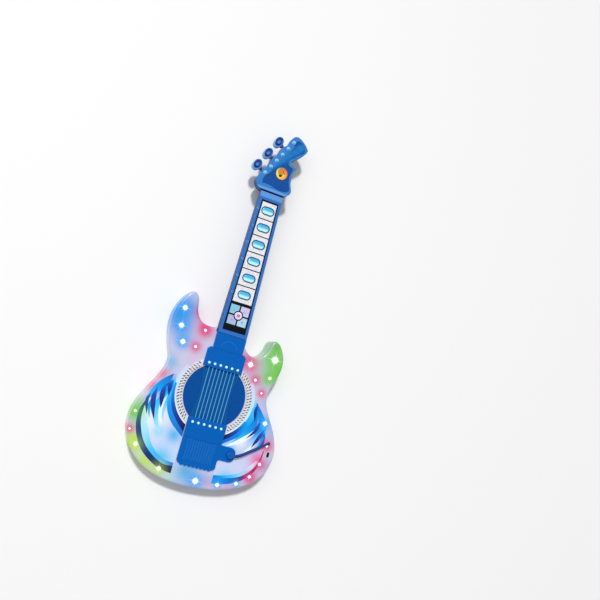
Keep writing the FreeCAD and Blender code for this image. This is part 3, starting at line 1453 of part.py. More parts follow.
def speaker_cone():
    body = new_body("speaker_cone")
    r = cell("speaker_radius") - 4.6
    profile = [
        line((r, 2.9), (r, 3.3)), line((r, 3.3), (9, 10.2)), line((9, 10.2), (0, 10.2)),
        line((0, 10.2), (0, 6.4)), arc((0, 6.4), (5, 7.2), (8.6, 9.7)), line((8.6, 9.7), (r, 2.9))]
    turned(body, profile, "V_Axis")
    body.Placement = Placement(Vector(0, cell("speaker_y"), 0), Rotation())
    return body


def main_board():
    body = new_body("main_board")
    plate = sketch(body, "plate", "dims.board_low")
    rectangle(plate, "-dims.board_half_x", "dims.board_half_x", "-dims.board_half_y", "dims.board_half_y")
    pad(body, plate, "dims.board_thick")
    holes = sketch(body, "holes", "dims.board_low - 1")
    circles(holes, board_screw_spots(), "dims.screw_radius + 0.3")
    pocket(body, holes, "4", up=True)
    return body


def board_components():
    """Chips, capacitors, a coil and plugs standing on the main board."""
    top = cell("board_low") + cell("board_thick") + 0.02
    boxes = [
        (-12, -8, 14, 16, 2.0), (14, -14, 10, 8, 1.8), (-34, -20, 8, 12, 1.8), (-8, 24, 16, 6, 5.5),
        (34, 6, 6, 14, 5.5), (-40, 0, 5, 12, 5.5), (16, -32, 12, 5, 5.5), (28, -8, 4, 3, 1.4),
        (2, 14, 4, 3, 1.4), (-24, 12, 4, 3, 1.4), (20, 20, 4, 3, 1.4),
    ]
    cans = [
        (-22, -6, 4.0, 7.5), (-26, 24, 3.2, 6.5), (30, 26, 4.0, 7.5), (8, 4, 2.6, 5.5), (0, -24, 3.2, 6.5),
    ]
    solids = [Part.makeBox(w, d, h, Vector(x, y, top)) for x, y, w, d, h in boxes]
    for x, y, radius, height in cans:
        can = Part.makeCylinder(radius, height, Vector(x, y, top))
        rim = [e for e in can.Edges if abs(e.BoundBox.ZMin - top - height) < EPS and e.Length > radius]
        solids.append(can.makeFillet(0.5, rim))
    return solid_node("board_components", Part.makeCompound(solids))


def jack(label, spot):
    """A 3.5 mm socket through the body's side, along the wall's outward direction."""
    body = new_body(label)
    bore, barrel, collar = cell("jack_bore"), cell("jack_radius"), cell("jack_collar")
    deep, proud = cell("jack_deep"), cell("jack_proud")
    profile = polygon([
        (bore, -deep), (barrel, -deep), (barrel, 0.0), (collar, 0.0), (collar, proud - 0.4),
        (collar - 0.4, proud), (bore, proud)])
    turned(body, profile, "V_Axis")
    body.Placement = jack_placement(spot)
    return body


def led_master():
    """A 5 mm lamp: flange, barrel and domed end."""
    body = new_body("led_master")
    r = cell("led_radius")
    profile = [
        line((0, 0), (r + 0.4, 0)), line((r + 0.4, 0), (r + 0.4, 1)), line((r + 0.4, 1), (r, 1)),
        line((r, 1), (r, 5)),
        arc((r, 5), (r * math.sqrt(0.5), 5 + r * math.sqrt(0.5)), (0, 5 + r)), line((0, 5 + r), (0, 0))]
    turned(body, profile, "V_Axis")
    return body


def wire_along(points):
    """A round wire through points in space."""
    path = Part.BSplineCurve()
    path.interpolate(points)
    first = path.tangent(path.FirstParameter)[0]
    profile = Part.Wire(Part.Circle(points[0], first, 0.5).toShape())
    return Part.Wire(path.toShape()).makePipeShell([profile], True, False)


def all_wires():
    """Wires from lamp board to lamp board in gentle curves, and the other runs."""
    clear = cell("led_radius") + 1.1
    high = cell("led_low") + cell("board_thick") + 1.1
    wires = []
    for chain in LAMP_CHAINS:
        for (ax, ay), (bx, by) in zip(chain, chain[1:]):
            a, b = Vector(ax, ay, high), Vector(bx, by, high)
            along = (b - a).normalize()
            start, end = a + along * clear, b - along * clear
            middle = (start + end) * 0.5 + Vector(0, 0, 1.2)
            wires.append(wire_along([start, middle, end]))
    wires += [wire_along([Vector(*point) for point in run]) for run in WIRE_RUNS]
    return solid_node("wires", Part.makeCompound(wires))


def ribbon_cable():
    """A flat cable from the main board through the neck's tongue to the board in the neck."""
    thick, half = 0.6, 5.0
    board = cell("board_low") + cell("board_thick") + 3.0
    points = [(30.6, board), (44, board + 1.2), (62, 28), (98, 28), (110, 30.5), (122, 34.8), (128, 35.3)]
    upper = spline(points)
    lower = spline([(y, z - thick) for y, z in reversed(points)])
    first, last = points[0], points[-1]
    edges = [
        upper.toShape(), line(last, (last[0], last[1] - thick)).toShape(), lower.toShape(),
        line((first[0], first[1] - thick), first).toShape()]
    face = Part.Face(Part.Wire(edges))
    strip = face.extrude(Vector(0, 0, 2 * half))
    upright = Rotation(Vector(0, 1, 0), Vector(0, 0, 1), Vector(1, 0, 0), "ZXY")
    strip.Placement = Placement(Vector(-half, 0, 0), upright)
    return solid_node("ribbon_cable", strip)


# ---- build ----------------------------------------------------------------------------------


def fasteners():
    """All the screws, grouped by the job they do."""
    sunk = 10.0
    neck_seat = 29.2
    speaker_seat = 4.0
    door_seat = 1.3
    board_top = cell("board_low") + cell("board_thick")
    inside = cell("body_thick") - cell("wall")
    over = Vector(0, 0, 1)
    board = screw_shape(9.0).mirror(Vector(), over)
    speaker = screw_shape(1.8, 1.6, 4.2).mirror(Vector(), over)
    groups = [
        ("shell_screws", screw_shape(18.0), SHELL_BOSSES + TONGUE_SCREWS, sunk),
        ("cover_screws", screw_shape(4.1, 1.8), COVER_BOSSES_TOP + COVER_BOSSES_LOW, inside),
        ("neck_screws", screw_shape(6.8), NECK_BOSSES + HEAD_BOSSES, neck_seat),
        ("board_screws", board, board_screw_spots(), board_top),
        ("speaker_screws", speaker, speaker_screw_spots(), speaker_seat),
        ("battery_door_screws", screw_shape(9.0, 1.2), door_screw_spots(), door_seat),
    ]
    return [repeat(label, screw, lifted(spots, seat)) for label, screw, spots, seat in groups]


def build():
    """Every node of the guitar."""
    nodes = [
        front_shell(), back_shell(), sound_hole_plate(), rosette_trim(), string_bed(), neck_cover(),
        bridge_cover(), strings(), string_pins(), neck_front_shell(), neck_back_shell(),
        fretboard_label(), glitter_tiles(), key_bezels(), fret_board(), keypad(), string_posts(),
        headstock_badge(), ribbon_cable(),
    ]
    nodes += [fret_key(i) for i in range(int(cell("key_count")))]
    nodes += [
        corner_pad_key("song_key", True, False),
        corner_pad_key("rhythm_key", False, False),
        corner_pad_key("volume_down_key", True, True),
        corner_pad_key("volume_up_key", False, True),
        round_key(),
    ]
    nodes += [tuner(i) for i in range(len(KNOB_SPOTS))]
    nodes += [tremolo_arm(), tremolo_cam(), tremolo_screw(), tremolo_spring(), tremolo_switch()]
    nodes += [battery_door(), battery_cells(), battery_contacts()]
    nodes += [speaker_basket(), speaker_magnet(), speaker_cone(), main_board(), board_components()]
    nodes += [jack("aux_jack", AUX_SPOT), jack("mic_jack", MIC_SPOT)]
    lamp = led_master()
    seat = cell("led_low") + cell("board_thick")
    nodes += [repeat(f"{colour}_lamps", lamp, lifted(spots, seat)) for colour, spots in LED_SPOTS.items()]
    lamp_board = Part.makeCylinder(cell("led_board"), cell("board_thick"))
    nodes += [repeat("lamp_boards", lamp_board, lifted(all_leds(), cell("led_low"))), all_wires()]
    return nodes + fasteners()


def check_and_write(nodes):
    """Stops if anything failed, then writes one STEP file for each node."""
    doc.recompute()
    for item in doc.Objects:
        if "Invalid" in item.State or "Error" in item.State:
            raise RuntimeError(f"{item.Label} failed: {item.State}")
    for node in nodes:
        shape = node.Shape
        if shape.isNull() or not shape.isValid() or not shape.Solids:
            raise RuntimeError(f"{node.Label} has no valid shape")
    os.makedirs("parts", exist_ok=True)
    for node in nodes:
        node.Shape.exportStep(f"parts/{node.Label}.step")
    print(len(nodes), "nodes written")


check_and_write(build())
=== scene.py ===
"""Looks of the toy guitar: materials, prints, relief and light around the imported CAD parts.

All sizes here are written in millimetres and multiplied by MM, because the frame is in metres.
"""

import math
import random

import bpy
import bmesh
from mathutils import Matrix, Vector

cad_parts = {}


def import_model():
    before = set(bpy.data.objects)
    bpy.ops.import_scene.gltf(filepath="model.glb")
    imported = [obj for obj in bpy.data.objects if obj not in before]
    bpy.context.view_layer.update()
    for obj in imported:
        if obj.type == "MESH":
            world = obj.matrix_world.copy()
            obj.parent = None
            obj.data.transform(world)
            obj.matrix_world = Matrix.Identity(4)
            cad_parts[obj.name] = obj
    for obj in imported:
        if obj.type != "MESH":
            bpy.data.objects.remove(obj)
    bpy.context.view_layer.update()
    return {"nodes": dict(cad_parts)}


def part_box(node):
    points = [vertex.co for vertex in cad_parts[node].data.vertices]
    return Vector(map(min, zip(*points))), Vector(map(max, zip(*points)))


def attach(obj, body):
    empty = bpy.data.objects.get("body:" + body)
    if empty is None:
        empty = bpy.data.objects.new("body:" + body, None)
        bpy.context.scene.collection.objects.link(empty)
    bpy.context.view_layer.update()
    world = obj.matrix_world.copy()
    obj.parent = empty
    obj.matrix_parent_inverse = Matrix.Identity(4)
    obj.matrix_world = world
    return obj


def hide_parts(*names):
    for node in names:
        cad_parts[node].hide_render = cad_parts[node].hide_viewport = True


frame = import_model()

MM = 0.001
# Heights above the back, half the covers' width, and the strap slot's middle.
FACE = 38.0
STRING_Z = 40.0
NECK_FACE = 44.0
HEAD_FACE = 40.0
COVER_HALF = 32.5
STRAP_SPOT = (114, -70)
BUMP_DEPTH = 0.2
PRINT_THICK = 0.25
STRING_PITCH = 6.2
GUITAR = "guitar"
nodes = frame["nodes"]


# ---- colour and node helpers ----

WHITE = (1.0, 1.0, 1.0, 1.0)


def srgb(red, green, blue):
    """A colour given as 0-255 screen values, as linear values for the renderer."""
    def linear(v):
        v /= 255
        return v / 12.92 if v <= 0.04045 else ((v + 0.055) / 1.055) ** 2.4

    return (linear(red), linear(green), linear(blue), 1.0)


class Net:
    """A short way to add nodes to a tree and to link them."""

    def __init__(self, tree):
        self.tree = tree

    def add(self, kind, **settings):
        node = self.tree.nodes.new("ShaderNode" + kind)
        for key, setting in settings.items():
            setattr(node, key, setting)
        return node

    def feed(self, socket, source):
        """Links a socket from another socket, or sets its default."""
        if isinstance(source, bpy.types.NodeSocket):
            self.tree.links.new(source, socket)
        else:
            socket.default_value = source

    def math(self, operation, a, b=0.0):
        node = self.add("Math", operation=operation)
        self.feed(node.inputs[0], a)
        if operation not in ("EXPONENT", "ABSOLUTE", "SINE", "SQRT"):
            self.feed(node.inputs[1], b)
        return node.outputs[0]

    def times(self, a, b):
        return self.math("MULTIPLY", a, b)

    def plus(self, a, b):
        return self.math("ADD", a, b)

    def minus(self, a, b):
        return self.math("SUBTRACT", a, b)

    def over(self, a, b):
        return self.math("DIVIDE", a, b)

    def opposite(self, a):
        """One minus a."""
        return self.minus(1.0, a)

    def clamp(self, a):
        node = self.add("Clamp")
        self.feed(node.inputs[0], a)
        return node.outputs[0]

    def mix(self, share, a, b, blend="MIX"):
        node = self.add("Mix", data_type="RGBA", blend_type=blend)
        self.feed(node.inputs[0], share)
        self.feed(node.inputs[6], a)
        self.feed(node.inputs[7], b)
        return node.outputs[2]

    def noise(self, scale, detail=3.0, rough=0.5, vector=None):
        node = self.add("TexNoise")
        node.inputs["Scale"].default_value = scale
        node.inputs["Detail"].default_value = detail
        node.inputs["Roughness"].default_value = rough
        if vector is not None:
            self.feed(node.inputs["Vector"], vector)
        return node.outputs["Fac"]

    def ramp(self, share, stops):
        node = self.add("ValToRGB")
        ramp = node.color_ramp
        while len(ramp.elements) < len(stops):
            ramp.elements.new(0.5)
        for element, (position, colour) in zip(ramp.elements, stops):
            element.position = position
            element.color = colour
        self.feed(node.inputs[0], share)
        return node.outputs[0]

    def position(self):
        return self.add("NewGeometry").outputs["Position"]


def shade(colour, factor):
    """A colour made darker or lighter, never above full."""
    return tuple(min(1.0, c * factor) for c in colour[:3]) + (1.0,)


def new_material(name):
    """An empty material with its principled shader, and a Net to build on."""
    material = bpy.data.materials.new(name)
    material.use_nodes = True
    material.node_tree.nodes.clear()
    net = Net(material.node_tree)
    shader = net.add("BsdfPrincipled")
    output = net.add("OutputMaterial")
    net.tree.links.new(shader.outputs[0], output.inputs[0])
    return material, net, shader


def bump(net, shader, height, strength):
    """Fine relief on a surface, from a height between 0 and 1."""
    node = net.add("Bump")
    node.inputs["Strength"].default_value = strength
    node.inputs["Distance"].default_value = BUMP_DEPTH * MM
    net.feed(node.inputs["Height"], height)
    net.feed(shader.inputs["Normal"], node.outputs[0])


def surface(net, shader, colour, rough, coat=0.0, glow=0.0, sheen=0.5, coat_rough=0.03):
    """Sets a shader's colour, roughness, clear coat, own light and shine."""
    net.feed(shader.inputs["Base Color"], colour)
    net.feed(shader.inputs["Roughness"], rough)
    net.feed(shader.inputs["Coat Weight"], coat)
    net.feed(shader.inputs["Coat Roughness"], coat_rough)
    net.feed(shader.inputs["Specular IOR Level"], sheen)
    if glow:
        net.feed(shader.inputs["Emission Color"], colour)
        net.feed(shader.inputs["Emission Strength"], glow)


def edge_highlight_mask(net, radius=0.7):
    """1 near a sharp edge and 0 on open surface; it places painted edge highlights."""
    bevel = net.add("Bevel", samples=4)
    bevel.inputs["Radius"].default_value = radius * MM
    dot = net.add("VectorMath", operation="DOT_PRODUCT")
    net.feed(dot.inputs[0], bevel.outputs[0])
    net.feed(dot.inputs[1], net.add("NewGeometry").outputs["True Normal"])
    return net.clamp(net.times(net.opposite(dot.outputs["Value"]), 7.0))


def plastic(name, colour, light, rough=0.32, coat=0.04, edge=0.5, grain=0.05, glow=0.0, sheen=0.1):
    """Moulded plastic: slow colour drift, fine grain, a painted highlight in the light colour along sharp
    edges, and a clear gloss.
    """
    material, net, shader = new_material(name)
    drift = net.noise(28.0, 2.0)
    base = net.mix(drift, shade(colour, 0.78), shade(colour, 1.14))
    # Sharp edges get a painted highlight in the light colour, as strong as edge.
    if edge:
        base = net.mix(net.times(edge_highlight_mask(net), edge), base, light)
    fine = net.noise(900.0, 2.0)
    uneven = net.plus(net.times(fine, 0.14), rough - 0.07)
    surface(net, shader, base, uneven, coat, glow, sheen, coat_rough=0.12)
    bump(net, shader, fine, grain)
    return material


def metal(name, colour):
    """Bare metal with fine drawn streaks."""
    material, net, shader = new_material(name)
    stretch = net.add("Mapping")
    stretch.inputs["Scale"].default_value = (1.0, 1.0, 14.0)
    net.feed(stretch.inputs["Vector"], net.position())
    lines = net.noise(700.0, 4.0, 0.6, stretch.outputs[0])
    base = net.mix(lines, shade(colour, 0.72), colour)
    surface(net, shader, base, net.plus(net.times(lines, 0.25), 0.3))
    shader.inputs["Metallic"].default_value = 1.0
    bump(net, shader, lines, 0.08)
    return material


# ---- lamps' glow, painted into colours ----

# Colours of the lamps' painted halos.
SKY = srgb(44, 162, 248)
PINK = srgb(232, 60, 132)
LEAF = srgb(110, 206, 44)
LIME = srgb(196, 236, 92)

# Strength of the painted halos, and the light given off by the painted star glints.
HALO_STRENGTH = 0.96
STAR_GLINT_LIGHT = 0.9

# Lamps: x, y, painted halo radius, painted star glint size, halo colour.
LAMPS = [
    (-84.5, 122, 17, 9, SKY), (-82.5, 94, 17, 9, SKY), (-73.5, 70, 12, 9, SKY), (94.5, -21, 12, 8, SKY),
    (74.5, -128, 7, 7, SKY), (44.5, -137, 7, 7, SKY), (7.5, -139, 15, 11, SKY),
    (-51.5, 68, 9, 5, PINK), (-43.5, 97, 12, 5, PINK), (43.5, 65, 15, 10, PINK), (58.5, 43, 9, 5, PINK),
    (74.5, 25, 8, 4, PINK), (108, -56, 11, 6, PINK), (104.5, -88, 11, 6, PINK), (93.5, -112, 11, 6, PINK),
    (-117, -83, 8, 4, PINK),
    (81.5, 83, 24, 13, LEAF), (81.5, 52, 13, 6, LEAF), (-55.5, -133, 12, 8, LIME),
    (-101.5, -104, 13, 7, LIME), (-116, -54, 17, 5, LEAF),
]
# Painted washes of lamp glow with no lamp in the middle: x, y, radius, strength, colour.
PAINTED_GLOW_WASHES = [
    (-70, 146, 12, 0.5, srgb(190, 190, 240)), (-92, 112, 25, 0.95, srgb(24, 134, 222)),
    (-58, 123, 13, 0.95, srgb(224, 30, 96)), (-46, 103, 13, 0.85, srgb(230, 60, 120)),
    (-70, 84, 16, 0.6, srgb(120, 190, 245)), (-58, 88, 17, 0.55, srgb(224, 190, 220)),
    (-48, 50, 18, 0.6, srgb(226, 196, 226)), (-84, 34, 12, 0.7, srgb(96, 180, 240)),
    (-92, 14, 11, 0.75, srgb(222, 62, 116)), (-101, -8, 12, 0.7, srgb(222, 70, 124)),
    (-113, -34, 10, 0.45, srgb(170, 200, 150)), (-110, -100, 16, 0.9, LIME), (-80, -126, 17, 0.9, LIME),
    (-36, -143, 13, 0.5, srgb(190, 238, 215)), (-12, -128, 19, 0.8, srgb(50, 178, 240)),
    (28, -135, 12, 0.6, srgb(204, 160, 206)), (62, -138, 12, 0.55, srgb(206, 150, 206)),
    (98, -118, 14, 0.55, srgb(214, 120, 190)), (118, -88, 12, 0.55, srgb(160, 170, 222)),
    (114, -35, 15, 0.55, srgb(150, 172, 224)), (88, 8, 13, 0.5, srgb(160, 178, 232)),
    (70, 44, 14, 0.45, srgb(196, 170, 214)), (96, 66, 17, 0.85, LEAF),
    (80, 104, 13, 0.85, srgb(90, 176, 52)), (34, 74, 12, 0.6, srgb(206, 96, 160)),
    (104, 60, 11, 0.7, srgb(90, 176, 52)),
]


def new_group(name, takes, gives):
    """A node group with named sockets: its Net, its input node and its output node."""
    tree = bpy.data.node_groups.new(name, "ShaderNodeTree")
    for way, sockets in (("INPUT", takes), ("OUTPUT", gives)):
        for label, kind in sockets.items():
            tree.interface.new_socket(label, in_out=way, socket_type="NodeSocket" + kind)
    entry = tree.nodes.new("NodeGroupInput")
    leave = tree.nodes.new("NodeGroupOutput")
    return Net(tree), entry, leave


def lamp_group():
    """A node group: how strongly one lamp's painted halo and painted star glint, with its bright core, show
    at a point of the face.
    """
    net, entry, leave = new_group(
        "one_lamp", {"Spot": "Vector", "Halo": "Float", "Star": "Float"},
        {"Halo": "Float", "Star": "Float"})
    away = net.add("VectorMath", operation="SUBTRACT")
    net.feed(away.inputs[0], net.position())
    net.feed(away.inputs[1], entry.outputs["Spot"])
    split = net.add("SeparateXYZ")
    net.feed(split.inputs[0], away.outputs[0])
    dx, dy = split.outputs[0], split.outputs[1]
    square = net.plus(net.times(dx, dx), net.times(dy, dy))
    distance = net.math("SQRT", square)
    halo = net.over(distance, entry.outputs["Halo"])
    halo = net.math("EXPONENT", net.times(net.times(halo, halo), -1.0))
    reach = net.over(distance, entry.outputs["Star"])
    fade = net.math("EXPONENT", net.times(reach, -2.2))
    scale = net.times(net.times(entry.outputs["Star"], entry.outputs["Star"]), 0.035)
    upright = net.math("ABSOLUTE", net.times(dx, dy))
    slant = net.math("ABSOLUTE", net.minus(net.times(dx, dx), net.times(dy, dy)))
    rays = net.math("EXPONENT", net.times(net.over(upright, scale), -1.0))
    minor = net.math("EXPONENT", net.times(net.over(slant, scale), -0.8))
    rays = net.times(net.plus(rays, net.times(minor, 0.55)), fade)
    core = net.times(reach, 3.4)
    core = net.math("EXPONENT", net.times(net.times(core, core), -1.0))
    net.feed(leave.inputs["Halo"], halo)
    net.feed(leave.inputs["Star"], net.plus(net.times(rays, 0.9), net.times(core, 1.3)))
    return net.tree


lamp_tree = lamp_group()


def use_group(net, tree, **sources):
    """Runs a node group on sockets or values given by name; returns its outputs."""
    node = net.add("Group", node_tree=tree)
    for name, source in sources.items():
        net.feed(node.inputs[name], source)
    return node.outputs


def lamp_at(net, x, y, halo, star=1.0):
    """One lamp's outputs, for a place and sizes in millimetres."""
    return use_group(net, lamp_tree, Spot=(x * MM, y * MM, 0.0), Halo=halo * MM, Star=star * MM)


def glow_group():
    """A node group that paints every glow wash and lamp halo into a colour, and adds up the painted star
    glints.
    """
    net, entry, leave = new_group(
        "lamp_glow", {"Color": "Color", "Wash": "Float", "Halo": "Float"},
        {"Color": "Color", "Star": "Float"})
    colour, star_glints = entry.outputs["Color"], None
    for x, y, radius, strength, tint in PAINTED_GLOW_WASHES:
        share = net.times(lamp_at(net, x, y, radius)["Halo"], strength)
        colour = net.mix(net.times(share, entry.outputs["Wash"]), colour, tint)
    for x, y, radius, size, tint in LAMPS:
        lamp = lamp_at(net, x, y, radius, size)
        share = net.times(lamp["Halo"], HALO_STRENGTH)
        colour = net.mix(net.times(share, entry.outputs["Halo"]), colour, tint)
        star_glints = lamp["Star"] if star_glints is None else net.plus(star_glints, lamp["Star"])
    net.feed(leave.inputs["Color"], colour)
    net.feed(leave.inputs["Star"], net.clamp(star_glints))
    return net.tree


glow_tree = glow_group()


def lit(name, colour_of, wash=1.0, halo=1.0, painted_glow=0.22, star=1.0, rough=0.3, coat=0.15, grain=0.04,
        depth=0.74, after=None):
    """A material with the lamps' halos and star glints painted on it; colour_of(net) gives its own colour.

    painted_glow is an even painted glow of its own, depth darkens it below the painted star glints, and
    after(net, colour) may change the result.
    """
    material, net, shader = new_material(name)
    tinted = use_group(net, glow_tree, Color=colour_of(net), Wash=wash, Halo=halo)
    star_glints = tinted["Star"]
    colour = net.mix(1.0, tinted["Color"], (depth, depth, depth, 1.0), "MULTIPLY")
    if after:
        colour = after(net, colour)
    # Painted star glints whiten the colour and give off painted light.
    white = net.mix(net.times(star_glints, star), colour, WHITE)
    # The even painted glow is added to the light of the star glints.
    glow = net.plus(net.times(star_glints, STAR_GLINT_LIGHT * star), painted_glow)
    fine = net.noise(700.0, 2.0)
    uneven = net.plus(net.times(fine, 0.12), rough - 0.06)
    surface(net, shader, white, uneven, coat, glow, sheen=0.3, coat_rough=0.1)
    bump(net, shader, fine, grain)
    return material


def milky(net):
    """Milky plastic: a pale lavender that drifts slowly."""
    return net.mix(net.noise(14.0, 2.0), srgb(196, 200, 234), srgb(220, 224, 246))


def slot_shade(net, colour):
    """Dark walls inside the strap slot, from a little below the face."""
    half_wide, half_long, start = 2.9, 5.2, 1.6
    x, y, z = object_place(net)
    dx = net.over(net.minus(x, STRAP_SPOT[0]), half_wide)
    dy = net.over(net.minus(y, STRAP_SPOT[1]), half_long)
    reach = net.plus(net.times(dx, dx), net.times(dy, dy))
    inside = net.opposite(step_up(net, reach, 1.0, 0.1))
    below = net.opposite(step_up(net, z, FACE - start, 0.4))
    return net.mix(net.times(inside, below), colour, srgb(34, 44, 58))


def object_place(net):
    """X, Y and Z of a point on the object, in millimetres, fixed to the object."""
    scaled = net.add("VectorMath", operation="SCALE")
    net.feed(scaled.inputs[0], net.add("TexCoord").outputs["Object"])
    scaled.inputs["Scale"].default_value = 1 / MM
    split = net.add("SeparateXYZ")
    net.feed(split.inputs[0], scaled.outputs[0])
    return split.outputs


def step_up(net, a, start, width):
    """0 below start, rising to 1 over width."""
    return net.clamp(net.over(net.minus(a, start), width))


def within(net, a, low, high, soft):
    """1 where a lies between low and high."""
    rise = step_up(net, a, low, soft)
    return net.times(rise, net.opposite(step_up(net, a, high, soft)))


def neck_material():
    """Neck and headstock: pale on faces, painted shade on the walls, a darker sunk panel in the headstock,
    and painted highlights and a painted shadow round the headstock's rim.
    """
    material, net, shader = new_material("neck_blue")
    x, y, z = object_place(net)
    drift = net.noise(28.0, 2.0)
    colour = net.mix(drift, srgb(34, 98, 178), srgb(48, 116, 196))
    head = step_up(net, y, 338.0, 1.0)
    panel = net.mix(drift, srgb(6, 62, 138), srgb(14, 84, 160))
    streak = net.minus(y, net.times(x, 1.1))
    streak = within(net, streak, 380.0, 396.0, 9.0)
    panel = net.mix(net.times(streak, 0.8), panel, srgb(24, 128, 200))
    rim = net.mix(drift, srgb(38, 104, 180), srgb(64, 134, 206))
    sunk = net.opposite(step_up(net, z, 39.2, 0.4))
    colour = net.mix(head, colour, net.mix(sunk, rim, panel))
    # Painted highlight on the slope down to the headstock, painted shadow in the groove below the rim, and
    # painted highlight on the rim's lip.
    colour = net.mix(within(net, y, 326.0, 335.5, 0.8), colour, srgb(92, 140, 204))
    colour = net.mix(within(net, y, 335.8, 338.6, 0.5), colour, srgb(6, 34, 88))
    colour = net.mix(within(net, y, 338.9, 342.6, 0.6), colour, srgb(92, 152, 218))
    # Painted shade on the side walls.
    normal = net.add("SeparateXYZ")
    net.feed(normal.inputs[0], net.add("NewGeometry").outputs["Normal"])
    painted_wall_shade = net.opposite(step_up(net, normal.outputs[2], 0.25, 0.4))
    colour = net.mix(net.times(painted_wall_shade, 0.9), colour, srgb(8, 50, 118))
    # Painted highlight along sharp edges.
    colour = net.mix(net.times(edge_highlight_mask(net, 0.8), 0.6), colour, srgb(104, 166, 230))
    fine = net.noise(900.0, 2.0)
    uneven = net.plus(net.times(fine, 0.14), 0.32)
    surface(net, shader, colour, uneven, coat=0.03, glow=0.05, sheen=0.14)
    bump(net, shader, fine, 0.05)
    return material


# The tuner knobs' middles, the way their shafts point, and their half sizes along and across it.
KNOBS = [(-35.4, 374.0), (-23.4, 396.6), (-11.4, 419.2)]
KNOB_TURN = math.atan2(-0.474, 0.880)
KNOB_HALF = (9.6, 7.2)


def knob_material(index):
    """A tuner: navy dish, pale centre, a pale rim that is a painted highlight, and painted shade over its
    upper right, so the rim is brighter on its lower left.
    """
    material, net, shader = new_material(f"knob_{index}")
    x, y, _ = object_place(net)
    dx, dy = (net.minus(a, b) for a, b in zip((x, y), KNOBS[index - 1]))
    cosine, sine = math.cos(KNOB_TURN), math.sin(KNOB_TURN)
    along = net.plus(net.times(dx, -sine), net.times(dy, cosine))
    across = net.plus(net.times(dx, cosine), net.times(dy, sine))
    u, v = net.over(along, KNOB_HALF[0]), net.over(across, KNOB_HALF[1])
    reach = net.math("SQRT", net.plus(net.times(u, u), net.times(v, v)))
    # The pale outer rim is a painted highlight.
    colour = net.ramp(reach, [
        (0.0, srgb(80, 150, 226)), (0.3, srgb(58, 128, 212)), (0.37, srgb(6, 40, 104)),
        (0.68, srgb(8, 50, 124)), (0.78, srgb(60, 128, 206)), (0.97, srgb(110, 176, 236))])
    # Painted shade over the upper right side.
    painted_side_shade = net.clamp(net.plus(0.5, net.times(net.plus(dx, dy), 0.09)))
    colour = net.mix(net.times(painted_side_shade, 0.55), colour, srgb(14, 72, 160))
    colour = net.mix(step_up(net, reach, 1.02, 0.03), colour, srgb(12, 62, 142))
    fine = net.noise(900.0, 2.0)
    surface(net, shader, colour, net.plus(net.times(fine, 0.1), 0.22), coat=0.2)
    bump(net, shader, fine, 0.04)
    return material


BLUE = srgb(0, 94, 182)
materials = {
    "shell": lit("milky_shell", milky, after=slot_shade),
    "blue": plastic("blue_plastic", BLUE, srgb(74, 156, 226), edge=0.55, glow=0.05),
    "plate": plastic("plate_blue", srgb(0, 76, 154), srgb(50, 120, 200), rough=0.4, edge=0.2),
    "bed": plastic("bed_blue", srgb(2, 84, 150), srgb(40, 120, 196), edge=0.4, glow=0.05),
    "neck": neck_material(),
    "light": plastic("light_blue", srgb(120, 196, 246), srgb(220, 242, 255), rough=0.25, glow=0.15),
    "pin": plastic("pin_white", srgb(200, 240, 250), srgb(120, 186, 226), rough=0.2, edge=0.9, glow=0.25),
    "ink": plastic("label_ink", srgb(4, 6, 14), srgb(24, 28, 44), rough=0.5, coat=0.0, edge=0.15,
                   sheen=0.12),
    "rim": plastic("key_rim", srgb(22, 74, 112), srgb(60, 130, 170), rough=0.35, edge=0.3),
    "black": plastic("black_plastic", srgb(20, 21, 24), srgb(60, 62, 68), rough=0.45, coat=0.1),
    "board": plastic("board_green", srgb(22, 96, 52), srgb(90, 160, 90), rough=0.45, coat=0.3, edge=0.2),
    "silicone": plastic("silicone", srgb(150, 154, 160), srgb(190, 194, 200), rough=0.6, coat=0.0,
                        edge=0.2),
    "cable": plastic("flat_cable", srgb(190, 190, 188), srgb(230, 230, 228), rough=0.5, coat=0.0,
                     edge=0.1),
    "wire": plastic("red_wire", srgb(168, 30, 30), srgb(210, 90, 80), rough=0.5, coat=0.1, edge=0.1),
    "sleeve": plastic("cell_sleeve", srgb(30, 92, 54), srgb(196, 190, 150), rough=0.35, edge=0.4),
    "cone": plastic("paper_cone", srgb(44, 44, 48), srgb(90, 90, 94), rough=0.8, coat=0.0, grain=0.3),
    "ferrite": plastic("ferrite", srgb(58, 58, 62), srgb(110, 110, 114), rough=0.6, coat=0.0, grain=0.25),
    "steel": metal("steel", srgb(196, 198, 202)),
    "lamp_blue": plastic("lamp_blue", srgb(120, 170, 255), srgb(230, 240, 255), rough=0.12, glow=1.2),
    "lamp_pink": plastic("lamp_pink", srgb(255, 130, 190), srgb(255, 230, 240), rough=0.12, glow=1.2),
    "lamp_green": plastic("lamp_green", srgb(140, 255, 150), srgb(235, 255, 235), rough=0.12, glow=1.2),
}


def key_material():
    """Clear cyan key: dark at its ends as painted shade, pale towards its lower edge as a painted
    highlight, with bright streaks of painted highlight.
    """
    material, net, shader = new_material("key_cyan")
    place = net.add("TexCoord").outputs["Generated"]
    split = net.add("SeparateXYZ")
    net.feed(split.inputs[0], place)
    # Painted highlight band towards the lower edge, fading to painted shade at the upper edge.
    along = net.ramp(split.outputs[1], [
        (0.0, srgb(130, 214, 240)), (0.28, srgb(190, 240, 252)), (0.55, srgb(64, 176, 220)),
        (1.0, srgb(40, 146, 200))])
    across = net.math("ABSOLUTE", net.minus(split.outputs[0], 0.5))
    # Painted shade at the rounded ends.
    ends = net.clamp(net.times(net.minus(across, 0.36), 4.0))
    colour = net.mix(ends, along, srgb(36, 120, 172))
    # Bright painted highlight streaks.
    wisps = net.noise(420.0, 3.0, 0.6)
    bright = net.clamp(net.times(net.minus(wisps, 0.56), 2.0))
    colour = net.mix(bright, colour, srgb(226, 250, 255))
    surface(net, shader, colour, 0.16, coat=0.8, glow=0.22)
    bump(net, shader, wisps, 0.03)
    return material


